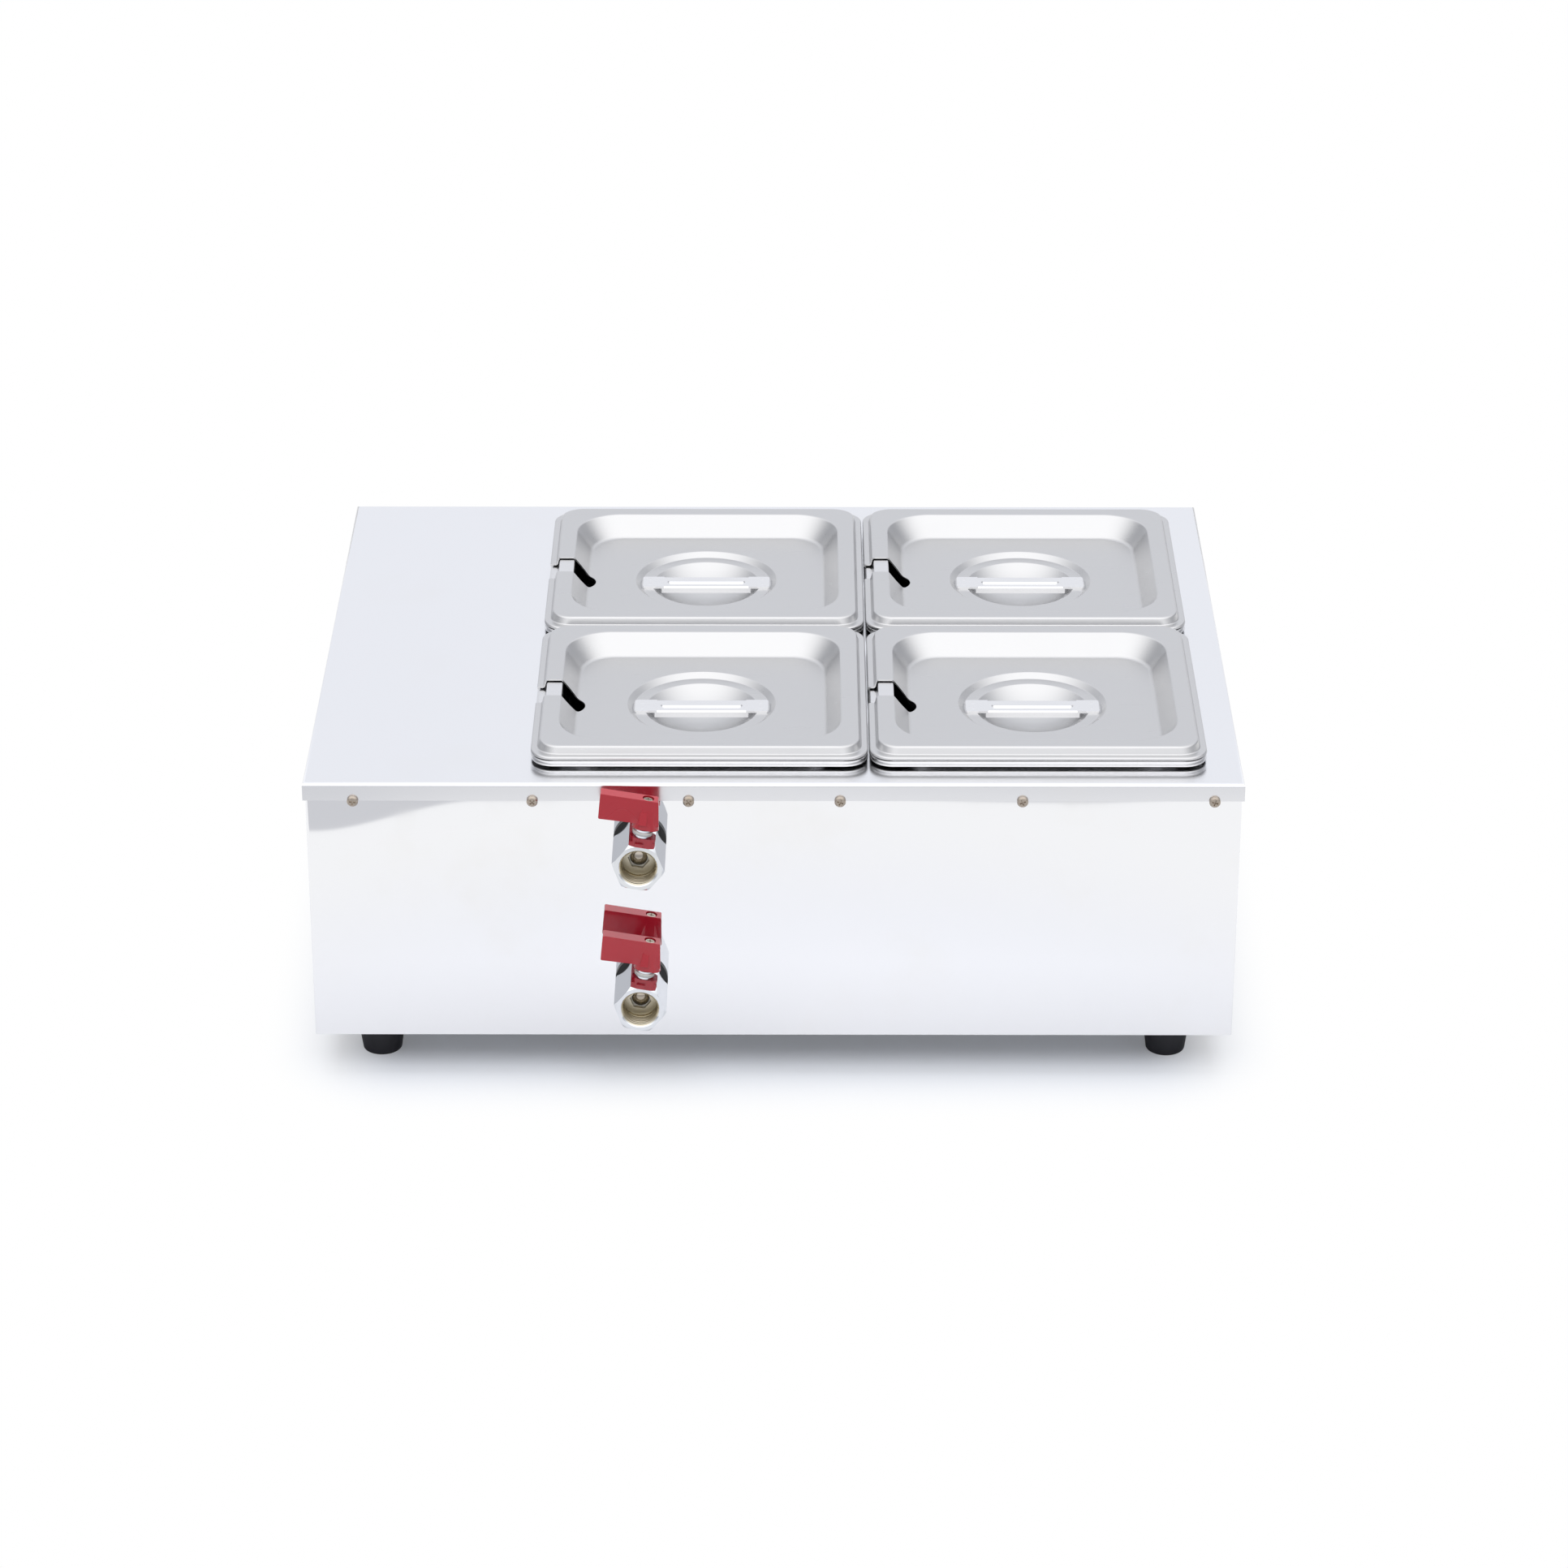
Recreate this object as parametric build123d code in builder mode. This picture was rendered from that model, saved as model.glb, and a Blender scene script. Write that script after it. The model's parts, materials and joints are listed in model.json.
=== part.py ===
from build123d import *
from math import asin, cos, radians, sin, sqrt, tan
import os

# Electric chocolate melter: a folded steel housing holds a heated water bath, and four
# lidded pans hang in the bath through cut-outs in the deck. Two small ball valves on the
# long front fill and drain the bath. The operator's controls are on the far long side.
#
# Millimetres, +Z up. The origin is on the table, under the middle of the whole appliance.
# The valves face -Y, the controls face +Y and the blank strip of the deck is at -X.

os.makedirs("parts", exist_ok=True)

# Housing
deck_w = 488.0
deck_d = 368.0
foot_h = 25.0
sheet = 1.0
cover_gap = 0.2
skirt_h = 10.0
cover_bend_r = 2.0
shell_corner_r = 1.5
return_flange = 12.0
plate_gap = 0.5
seam_gap = 0.1

# Pans: one sixth gastronorm size, with a flat flange and a turned-down lip
pan_w = 176.0
pan_d = 162.0
pan_depth = 100.0
bath_gap = 35.9
pan_wall = 0.8
pan_rim_r = 12.0
pan_crown_lift = 5.2
pan_flange = 13.0
pan_lip_run = 1.2
pan_lip_fall = 1.8
pan_bend_r = 6.0
pan_neck_h = 20.0
pan_step = 2.0
pan_draft = 8.0
pan_corner_r = 24.0
pan_foot_corner_r = 19.0
pan_floor_r = 12.0
pan_bend_steps = 4
pan_seat_gap = 0.4
pan_gap_x = 0.8
pan_gap_y = 1.6
right_margin = 18.0
front_margin = 17.3

# Lids: pressed sheet with a raised band, a sunken middle and a dished finger well
lid_sheet = 0.8
lid_seat_gap = 0.3
lid_rim = 1.6
lid_rise = 4.6
lid_rise_run = 3.0
band_w = 9.0
recess_depth = 11.0
recess_run = 8.5
recess_corner_r = 24.0
recess_floor_r = 3.0
recess_foot_corner_r = 19.0
lid_corner_r = 11.0
lid_bend_r = 1.5
lid_bend_steps = 2
well_d = 79.5
well_step = 2.6
well_run = 3.4
well_ledge = 6.05
bowl_depth = 11.0
ladle_slot_w = 20.0
ladle_slot_l = 26.0
ladle_slot_shift = 4.0

# Strap handle across each finger well
strap_w = 14.0
strap_t = 1.2
strap_bar_gap = 5.3
strap_fold = 2.6
strap_corner_r = 1.5
strap_rib_end = 3.0
strap_rib_w = 4.6
strap_rib_h = 0.8
strap_rib_taper = 30.0
strap_end_gap = 0.3

# Water bath
tank_side_gap = 9.0
tank_floor_lift = 18.0
tank_corner_r = 16.0
tank_floor_r = 8.0
tank_lip = 8.0
socket_r = 14.5
socket_l = 11.0

# Ball valves, half-inch pipe size
valve_x = -69.5
valve_low_z = 33.7
valve_pitch = 82.5
valve_tilt = 9.6
hex_af = 24.0
hex_l = 32.5
hex_chamfer = 1.4
ball_to_shoulder = 12.6
thread_outer_r = 10.45
thread_bore_r = 9.32
thread_depth = 11.0
thread_relief = 0.5
thread_relief_w = 0.9
stub_l = 13.5
water_bore_r = 5.0
ball_r = 7.5
ball_port_r = 4.5
ball_gap = 0.3
ball_slot_depth = 1.6
chamber_gap = 0.62
seat_t = 1.4
seat_land = 1.0
retainer_step = 0.78
retainer_af = 9.8
fit_gap = 0.05
stem_r = 3.0
tang_w = 4.8
tang_t = 1.5
tang_depth = 1.5
gland_r = 4.6
gland_h = 2.1
gland_ring_r = 5.3
gland_ring_t = 0.9
washer_r = 13.8
washer_t = 2.0
panel_hole_gap = 0.3

# Winged valve handle
handle_reach = 24.0
handle_back = 5.3
handle_t = 7.0
handle_edge_r = 0.8
wing_h = 14.3
wing_flare = 1.0
wing_rise = 0.6
handle_h = 16.7
handle_end_flare = 2.3
handle_hub_l = 14.2
handle_hub_t = 9.2
handle_hub_shift = 1.0
handle_hub_top_l = 10.2
handle_hub_top_t = 6.6
handle_hub_drop = 2.0
handle_gap = 0.3
handle_bar_w = 4.5
handle_bar_h = 7.0
handle_bar_y = 4.6
handle_bar_t = 2.0
handle_bar_rise = 6.4
handle_bar_shift = 1.1
handle_bar_slant = 84.7
handle_bar_tilt = 12.0
handle_screw_r = 2.7
handle_screw_h = 1.4
handle_screw_dome = 0.6
handle_recess_r = 3.0
handle_recess_h = 2.0
driver_l = 3.24
driver_w = 0.7
driver_depth = 0.8

# Controls on the far side
control_inset = 45.0
knob_z = 47.0
knob_r = 21.0
knob_h = 17.0
knob_skirt_t = 3.2
knob_gap = 0.6
knob_edge_r = 1.1
knob_hub_r = 15.1
knob_hub_h = 9.4
knob_hub_taper = 8.0
knob_grip_w = 10.0
knob_grip_inset = 1.5
knob_grip_taper = 5.0
knob_grip_r = 1.2
spindle_r = 3.0
spindle_hole_gap = 1.0
dial_r = 27.0
dial_t = 0.8
thermostat_size = 38.0
thermostat_l = 26.0
thermostat_corner_r = 3.0
thermostat_edge_r = 2.0
spindle_reach = 8.7
lamp_z = 84.0
lamp_spread = 15.0
lamp_bezel_r = 6.5
lamp_bezel_t = 1.6
lamp_bezel_edge_r = 0.7
lamp_lens_r = 4.8
lamp_lens_h = 3.0
lamp_lens_edge_r = 1.6
lamp_body_r = 5.0
lamp_body_l = 22.0
switch_z = 112.0
switch_w = 22.6
switch_h = 30.6
switch_bezel_t = 2.0
switch_corner_r = 1.5
switch_edge_r = 0.8
switch_wall = 2.4
switch_l = 24.0
switch_well = 14.4
rocker_gap = 0.35
rocker_throw = 18.0
rocker_pin_r = 1.5
rocker_pin_depth = 4.0
rocker_sink = 1.0
rocker_vee = 1.5
rocker_skirt = 1.0
rocker_keel = 3.5
rocker_keel_l = 9.2
rocker_end_gap = 1.37

# Mains inlet in the left end
inlet_y = 60.0
inlet_z = 42.0
inlet_w = 27.0
inlet_h = 19.6
inlet_cut = 2.0
inlet_mouth_cut = 4.0
inlet_wall = 1.4
inlet_l = 20.0
inlet_plate_w = 50.0
inlet_plate_h = 21.6
inlet_plate_t = 2.5
inlet_plate_r = 4.0
inlet_screw_pitch = 40.0
inlet_screw_r = 1.6
inlet_screw_head_r = 3.2
inlet_screw_tail = 2.0
inlet_cut_gap = 0.3
pin_w = 2.0
pin_h = 4.0
pin_l = 13.0
pin_tail = 8.0
pin_spread = 7.0

# Heating
heater_r = 4.0
heater_lift = 12.0
heater_outer_y = 105.0
heater_inner_y = 35.0
heater_neck_y = 15.0
heater_clearance = 30.0
heater_tail = 20.0
heater_nut_af = 19.0
heater_nut_t = 6.0
gasket_r = 11.0
gasket_t = 2.0
bulb_r = 3.0
bulb_l = 80.0
bulb_y = -130.0
capillary_r = 0.9
capillary_turn_r = 15.0
cutout_r = 8.0
cutout_t = 9.0
cutout_edge_r = 1.0
cutout_tab_l = 25.6
cutout_y = 60.0
shield_gap = 28.0

# Feet and fasteners
foot_top_r = 14.0
foot_bottom_r = 10.3
foot_edge_r = 1.0
foot_inset = 32.5
foot_bore_r = 2.6
foot_recess_r = 5.5
foot_recess_h = 9.0
foot_bolt_r = 2.5
foot_head_r = 4.5
foot_head_h = 3.0
foot_nut_af = 8.0
foot_nut_t = 4.0
foot_bolt_tail = 1.0
screw_r = 1.5
screw_head_r = 2.9
screw_head_h = 1.9
screw_l = 6.0
screw_hole_gap = 0.2
front_screw_x = [-218.0, -125.0, -44.0, 34.5, 129.0, 228.5]
base_screw_x = [-211.0, 0.0, 211.0]

# Terminal block and vents
block_l = 52.0
block_w = 18.0
block_h = 14.0
block_shift = 30.0
block_ways = 5
block_groove_w = 1.6
block_groove_h = 7.0
block_hole_r = 2.0
block_hole_h = 4.7
vent_l = 44.0
vent_w = 3.0
vent_pitch = 9.0
vent_count = 9

# Levels; the housing is as deep as the pans and the water under them need
body_h = tank_floor_lift + bath_gap + pan_depth - pan_crown_lift
shell_z = foot_h
deck_z = foot_h + body_h
shell_top = deck_z - sheet - seam_gap
skirt_z = deck_z - skirt_h
plate_z = shell_z + sheet
tank_z = shell_z + tank_floor_lift
tank_top = deck_z - sheet
crown_z = deck_z + pan_crown_lift
lid_z = crown_z + lid_seat_gap
lid_band_z = lid_z + lid_sheet + lid_rise
lid_floor_z = lid_band_z - recess_depth
ledge_z = lid_floor_z - well_step

# Plan positions; the appliance's middle is shifted so that valves and knob reach evenly
shell_w = deck_w - 2 * (sheet + cover_gap)
shell_d = deck_d - 2 * (sheet + cover_gap)
valve_reach = washer_t + hex_l
knob_reach = dial_t + knob_gap + knob_h
mid_y = (valve_reach - knob_reach) / 2
front_y = mid_y - deck_d / 2
panel_y = mid_y - shell_d / 2
rear_y = mid_y + shell_d / 2
left_x = -shell_w / 2
pan_pitch_x = pan_w + pan_gap_x
pan_pitch_y = pan_d + pan_gap_y
right_col_x = deck_w / 2 - right_margin - pan_w / 2
left_col_x = right_col_x - pan_pitch_x
front_row_y = front_y + front_margin + pan_d / 2
rear_row_y = front_row_y + pan_pitch_y
pan_places = {
    "front_left": (left_col_x, front_row_y),
    "front_right": (right_col_x, front_row_y),
    "rear_left": (left_col_x, rear_row_y),
    "rear_right": (right_col_x, rear_row_y),
}

# The bend under each pan's flange hangs on its cut-out's edge: this is how far the bend
# has already curved away from the neck where it passes the deck's top face
hang_r = pan_bend_r - pan_wall
hang_low = max(pan_bend_r - pan_crown_lift, 0)
hang_swell = hang_r - sqrt(hang_r**2 - hang_low**2)
neck_w = pan_w - 2 * pan_flange
neck_d = pan_d - 2 * pan_flange
cutout_grow = hang_swell + pan_seat_gap
cutout_w = neck_w + 2 * cutout_grow
cutout_d = neck_d + 2 * cutout_grow
cutout_corner_r = pan_corner_r + cutout_grow

tank_x0 = left_col_x - cutout_w / 2 - tank_side_gap
tank_x1 = right_col_x + cutout_w / 2 + tank_side_gap
tank_y0 = panel_y + sheet + socket_l
tank_y1 = rear_y - sheet - socket_l
tank_x = (tank_x0 + tank_x1) / 2
tank_y = (tank_y0 + tank_y1) / 2
tank_w = tank_x1 - tank_x0
tank_d = tank_y1 - tank_y0
shield_x = tank_x0 - shield_gap
control_x = left_x + control_inset
foot_x = shell_w / 2 - foot_inset
foot_y = shell_d / 2 - foot_inset
foot_places = [(sx * foot_x, mid_y + sy * foot_y) for sx in (-1, 1) for sy in (-1, 1)]
cover_screw_z = skirt_z


def level(z):
    """Plane parallel to the table at height z."""
    return Plane.XY.offset(z)


def rounded(width, depth, corner, z, centre=(0.0, 0.0)):
    """Rounded rectangle on a level plane."""
    with BuildSketch(level(z)) as outline:
        with Locations(centre):
            RectangleRounded(width, depth, corner)
    return outline.sketch


def stack(outlines, floor_r=0.0):
    """Closed form that runs straight from each outline to the next, lowest first."""
    with BuildPart() as form:
        for lower, upper in zip(outlines, outlines[1:]):
            loft(sections=[lower, upper], ruled=True)
        if floor_r:
            fillet(form.edges().group_by(Axis.Z)[0], floor_r)
    return form.part


def front_face(z, x=0.0, y=panel_y):
    """Plane on the front panel, seen from in front, upright."""
    return Plane(origin=(x, y, z), x_dir=(1, 0, 0), z_dir=(0, -1, 0))


def rear_face(z, x=0.0, y=rear_y):
    """Plane on the rear panel, seen from behind, upright."""
    return Plane(origin=(x, y, z), x_dir=(-1, 0, 0), z_dir=(0, 1, 0))


def left_face(z, y=0.0, x=left_x):
    """Plane on the left end, seen from the left, upright."""
    return Plane(origin=(x, y, z), x_dir=(0, -1, 0), z_dir=(-1, 0, 0))


def right_face(z, y=0.0, x=-left_x):
    """Plane on the right end, seen from the right, upright."""
    return Plane(origin=(x, y, z), x_dir=(0, 1, 0), z_dir=(1, 0, 0))


def turned_arc(before, corner, after, radius, steps):
    """Points of the arc that rounds off one corner of a section."""
    corner = Vector(*corner)
    into = (Vector(*before) - corner).normalized()
    out = (Vector(*after) - corner).normalized()
    half = radians(into.get_angle(out)) / 2
    middle = corner + (into + out).normalized() * (radius / sin(half))
    start = corner + into * (radius / tan(half)) - middle
    end = corner + out * (radius / tan(half)) - middle
    spread = radians(start.get_angle(end))
    points = []
    for step in range(steps + 1):
        share = step / steps
        point = start * sin((1 - share) * spread) + end * sin(share * spread)
        points.append(middle + point * (1 / sin(spread)))
    return [(point.X, point.Y) for point in points]


def rounded_section(section, steps):
    """Section of (inset, height, bend radius) corners with its bends rounded off."""
    spots = [corner[:2] for corner in section]
    points = [spots[0]]
    for index in range(1, len(section) - 1):
        radius = section[index][2]
        if radius:
            points += turned_arc(*spots[index - 1 : index + 2], radius, steps)
        else:
            points.append(spots[index])
    return points + [spots[-1]]


def underside(section, thickness):
    """The same section one sheet thickness lower, its bends growing or shrinking to suit."""
    lowered = []
    for index, (inset, height, radius) in enumerate(section):
        ahead = section[min(index + 1, len(section) - 1)]
        behind = section[max(index - 1, 0)]
        normals = []
        for first, last in ((behind, section[index]), (section[index], ahead)):
            run = Vector(first[0] - last[0], last[1] - first[1])
            if run.length > 0:
                normals.append(Vector(-run.Y, run.X).normalized())
        if len(normals) == 1:
            normals *= 2
        share = thickness / (1 + normals[0].dot(normals[1]))
        shift = (normals[0] + normals[1]) * share
        turn = normals[0].cross(normals[1]).Z
        if radius:
            radius += thickness if turn > 0 else -thickness
        lowered.append((inset + shift.X, height - shift.Y, radius))
    return lowered


def plan_corner(inset, rule):
    """Corner radius of a pressing's outline at one inset from its rim."""
    for (near, first), (far, last) in zip(rule, rule[1:]):
        if inset <= far:
            return first + (last - first) * (inset - near) / (far - near)
    return rule[-1][1]


def pressing(section, thickness, rule, steps, centre):
    """Sheet pressed to one section all round a rounded rectangle of the pan's size.

    The section runs from the middle outwards; rule gives the plan corners' radius.
    """
    upper = rounded_section(section, steps)
    lower = rounded_section(underside(section, thickness), steps)
    outlines = [
        rounded(
            pan_w - 2 * inset, pan_d - 2 * inset, plan_corner(inset, rule), height, centre
        )
        for inset, height in upper + lower[::-1]
    ]
    with BuildPart() as form:
        loft(sections=outlines, ruled=True)
    return form.part


cover_screw_planes = [front_face(cover_screw_z, x, front_y) for x in front_screw_x]
cover_screw_planes += [
    rear_face(cover_screw_z, x, mid_y + deck_d / 2) for x in front_screw_x
]
base_screw_places = [
    (x, mid_y + side * (shell_d - return_flange) / 2)
    for x in base_screw_x
    for side in (-1, 1)
]

# Top cover: deck with four cut-outs, turned down all round into a narrow skirt
with BuildPart() as top_cover:
    with BuildSketch(level(skirt_z)):
        with Locations((0, mid_y)):
            Rectangle(deck_w, deck_d)
    extrude(amount=skirt_h)
    fillet(top_cover.edges().group_by(Axis.Z)[-1], cover_bend_r)
    with BuildSketch(level(skirt_z)):
        with Locations((0, mid_y)):
            Rectangle(deck_w - 2 * sheet, deck_d - 2 * sheet)
    extrude(amount=skirt_h - sheet, mode=Mode.SUBTRACT)
    with BuildSketch(level(deck_z)):
        with Locations(*pan_places.values()):
            RectangleRounded(cutout_w, cutout_d, cutout_corner_r)
    extrude(amount=-sheet, mode=Mode.SUBTRACT)
    with BuildSketch(*cover_screw_planes):
        Circle(screw_r + screw_hole_gap)
        with Locations((0, -screw_r)):
            Rectangle(2 * (screw_r + screw_hole_gap), 2 * screw_r)
    extrude(amount=-2 * sheet, mode=Mode.SUBTRACT)
top_cover.part.label = "top_cover"
export_step(top_cover.part, "parts/top_cover.step")

# Screws whose heads clamp the skirt at its lower edge
with BuildPart() as cover_screws:
    with BuildSketch(*cover_screw_planes):
        Circle(screw_head_r)
    extrude(amount=screw_head_h)
    chamfer(cover_screws.edges().filter_by(GeomType.CIRCLE), screw_head_h / 3)
    with BuildSketch(*cover_screw_planes):
        Circle(screw_r)
    extrude(amount=-screw_l)
cover_screws.part.label = "cover_screws"
export_step(cover_screws.part, "parts/cover_screws.step")

# Housing shell: four walls with a return flange round the bottom
with BuildPart() as body_shell:
    with BuildSketch(level(shell_z)):
        with Locations((0, mid_y)):
            RectangleRounded(shell_w, shell_d, shell_corner_r)
    extrude(amount=shell_top - shell_z)
    with BuildSketch(level(plate_z)):
        with Locations((0, mid_y)):
            Rectangle(shell_w - 2 * sheet, shell_d - 2 * sheet)
    extrude(amount=shell_top - plate_z, mode=Mode.SUBTRACT)
    with BuildSketch(level(shell_z)):
        with Locations((0, mid_y)):
            Rectangle(shell_w - 2 * return_flange, shell_d - 2 * return_flange)
        with Locations(*base_screw_places):
            Circle(screw_r + screw_hole_gap)
    extrude(amount=sheet, mode=Mode.SUBTRACT)
    with BuildSketch(*cover_screw_planes):
        Circle(screw_r + screw_hole_gap)
    extrude(amount=-3 * sheet, mode=Mode.SUBTRACT)
    with BuildSketch(front_face(shell_z)):
        with Locations((valve_x, valve_low_z), (valve_x, valve_low_z + valve_pitch)):
            Circle(thread_outer_r + panel_hole_gap)
    extrude(amount=-sheet, mode=Mode.SUBTRACT)
    with BuildSketch(rear_face(shell_z, control_x)):
        with Locations((0, knob_z)):
            Circle(spindle_r + spindle_hole_gap)
        with Locations((-lamp_spread, lamp_z), (lamp_spread, lamp_z)):
            Circle(lamp_body_r + panel_hole_gap)
        with Locations((0, switch_z)):
            Rectangle(
                switch_w - 2 * switch_bezel_t + 2 * panel_hole_gap,
                switch_h - 2 * switch_bezel_t + 2 * panel_hole_gap,
            )
    extrude(amount=-sheet, mode=Mode.SUBTRACT)
    with BuildSketch(left_face(shell_z + inlet_z, mid_y + inlet_y)):
        Rectangle(inlet_w + 2 * inlet_cut_gap, inlet_h + 2 * inlet_cut_gap)
        with GridLocations(inlet_screw_pitch, 0, 2, 1):
            Circle(inlet_screw_head_r)
    extrude(amount=-sheet, mode=Mode.SUBTRACT)
body_shell.part.label = "body_shell"
export_step(body_shell.part, "parts/body_shell.step")

# Bottom plate, laid on the return flange, with vents under the wiring
plate_w = shell_w - 2 * sheet - 2 * plate_gap
plate_d = shell_d - 2 * sheet - 2 * plate_gap
vent_mid_x = (left_x + shield_x) / 2
with BuildPart() as bottom_plate:
    with BuildSketch(level(plate_z)):
        with Locations((0, mid_y)):
            Rectangle(plate_w, plate_d)
        with Locations((vent_mid_x, mid_y)):
            with GridLocations(0, vent_pitch, 1, vent_count):
                SlotOverall(vent_l, vent_w, mode=Mode.SUBTRACT)
        with Locations(*foot_places):
            Circle(foot_bolt_r + screw_hole_gap, mode=Mode.SUBTRACT)
        with Locations(*base_screw_places):
            Circle(screw_r + screw_hole_gap, mode=Mode.SUBTRACT)
    extrude(amount=sheet)
bottom_plate.part.label = "bottom_plate"
export_step(bottom_plate.part, "parts/bottom_plate.step")

with BuildPart() as base_screws:
    with BuildSketch(level(shell_z)):
        with Locations(*base_screw_places):
            Circle(screw_head_r)
    extrude(amount=-screw_head_h)
    chamfer(base_screws.edges().group_by(Axis.Z)[0], screw_head_h / 3)
    with BuildSketch(level(shell_z)):
        with Locations(*base_screw_places):
            Circle(screw_r)
    extrude(amount=screw_l)
base_screws.part.label = "base_screws"
export_step(base_screws.part, "parts/base_screws.step")

# Tapered rubber feet with a sunken bolt
with BuildPart() as feet:
    with Locations(*[(x, y, 0) for x, y in foot_places]):
        Cone(foot_bottom_r, foot_top_r, plate_z, align=(Align.CENTER, Align.CENTER, Align.MIN))
    fillet(feet.edges().group_by(Axis.Z)[0], foot_edge_r)
    with BuildSketch(level(0)):
        with Locations(*foot_places):
            Circle(foot_recess_r)
    extrude(amount=foot_recess_h, mode=Mode.SUBTRACT)
    with BuildSketch(level(0)):
        with Locations(*foot_places):
            Circle(foot_bore_r)
    extrude(amount=plate_z, mode=Mode.SUBTRACT)
feet.part.label = "feet"
export_step(feet.part, "parts/feet.step")

with BuildPart() as foot_bolts:
    with BuildSketch(level(foot_recess_h)):
        with Locations(*foot_places):
            Circle(foot_head_r)
    extrude(amount=-foot_head_h)
    with BuildSketch(level(foot_recess_h)):
        with Locations(*foot_places):
            Circle(foot_bolt_r)
    extrude(amount=plate_z + sheet + foot_nut_t + foot_bolt_tail - foot_recess_h)
foot_bolts.part.label = "foot_bolts"
export_step(foot_bolts.part, "parts/foot_bolts.step")

with BuildPart() as foot_nuts:
    with BuildSketch(level(plate_z + sheet)):
        with Locations(*foot_places):
            RegularPolygon(foot_nut_af / 2, 6, major_radius=False)
            Circle(foot_bolt_r + fit_gap, mode=Mode.SUBTRACT)
    extrude(amount=foot_nut_t)
foot_nuts.part.label = "foot_nuts"
export_step(foot_nuts.part, "parts/foot_nuts.step")

# Water tank, welded under the deck by its lip
heater_z = tank_z + sheet + heater_lift
bulb_z = heater_z
valve_levels = {"lower": shell_z + valve_low_z, "upper": shell_z + valve_low_z + valve_pitch}
with BuildPart() as water_tank:
    with BuildSketch(level(tank_z)):
        with Locations((tank_x, tank_y)):
            RectangleRounded(tank_w, tank_d, tank_corner_r)
    extrude(amount=tank_top - tank_z)
    fillet(water_tank.edges().group_by(Axis.Z)[0], tank_floor_r)
    with BuildSketch(level(tank_top)):
        with Locations((tank_x, tank_y)):
            RectangleRounded(
                tank_w + 2 * tank_lip, tank_d + 2 * tank_lip, tank_corner_r + tank_lip
            )
    extrude(amount=-sheet)
    inside = stack(
        [
            rounded(
                tank_w - 2 * sheet,
                tank_d - 2 * sheet,
                tank_corner_r - sheet,
                z,
                (tank_x, tank_y),
            )
            for z in (tank_z + sheet, tank_top)
        ],
        tank_floor_r - sheet,
    )
    add(inside, mode=Mode.SUBTRACT)
    with BuildSketch(front_face(0, valve_x, tank_y0)):
        with Locations(*[(0, z) for z in valve_levels.values()]):
            Circle(water_bore_r)
    extrude(amount=-sheet, mode=Mode.SUBTRACT)
    with BuildSketch(left_face(0, tank_y, tank_x0)):
        with Locations((-heater_neck_y, heater_z), (heater_neck_y, heater_z)):
            Circle(heater_r + panel_hole_gap)
        with Locations((-bulb_y, bulb_z)):
            Circle(bulb_r + panel_hole_gap)
    extrude(amount=-sheet, mode=Mode.SUBTRACT)
water_tank.part.label = "water_tank"
export_step(water_tank.part, "parts/water_tank.step")

# Threaded sockets between the tank and the front panel, one for each valve
with BuildPart() as tank_sockets:
    with BuildSketch(front_face(0, valve_x, tank_y0)):
        with Locations(*[(0, z) for z in valve_levels.values()]):
            Circle(socket_r)
            Circle(thread_outer_r + fit_gap, mode=Mode.SUBTRACT)
    extrude(amount=socket_l)
tank_sockets.part.label = "tank_sockets"
export_step(tank_sockets.part, "parts/tank_sockets.step")

# Immersion heater: one folded tube, its two tails through the tank's left wall
tail_x = tank_x0 - heater_tail
loop_x0 = tank_x0 + heater_clearance
loop_x1 = tank_x1 - heater_clearance
turn_r = (heater_outer_y - heater_inner_y) / 2 - heater_r
half_route = [
    (tail_x, heater_neck_y),
    (loop_x0, heater_neck_y),
    (loop_x0, heater_outer_y),
    (loop_x1, heater_outer_y),
    (loop_x1, heater_inner_y),
    (loop_x0 + 2 * heater_clearance, heater_inner_y),
]
route = [(x, tank_y + y, heater_z) for x, y in half_route]
route += [(x, tank_y - y, heater_z) for x, y in reversed(half_route)]
neck_r = heater_clearance / 2
half_radii = [neck_r, turn_r, turn_r, turn_r, turn_r]
with BuildPart() as heater_tube:
    with BuildLine() as heater_line:
        FilletPolyline(*route, radius=half_radii + half_radii[::-1])
    with BuildSketch(Plane(origin=route[0], z_dir=(1, 0, 0))):
        Circle(heater_r)
    sweep(path=heater_line.line)
heater_tube.part.label = "heater_tube"
export_step(heater_tube.part, "parts/heater_tube.step")

heater_planes = [
    left_face(heater_z, tank_y + side * heater_neck_y, tank_x0) for side in (-1, 1)
]
with BuildPart() as heater_gaskets:
    with BuildSketch(*heater_planes):
        Circle(gasket_r)
        Circle(heater_r + fit_gap, mode=Mode.SUBTRACT)
    extrude(amount=gasket_t)
heater_gaskets.part.label = "heater_gaskets"
export_step(heater_gaskets.part, "parts/heater_gaskets.step")

with BuildPart() as heater_nuts:
    with BuildSketch(*[plane.offset(gasket_t) for plane in heater_planes]):
        RegularPolygon(heater_nut_af / 2, 6, major_radius=False)
        Circle(heater_r + fit_gap, mode=Mode.SUBTRACT)
    extrude(amount=heater_nut_t)
heater_nuts.part.label = "heater_nuts"
export_step(heater_nuts.part, "parts/heater_nuts.step")

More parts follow.
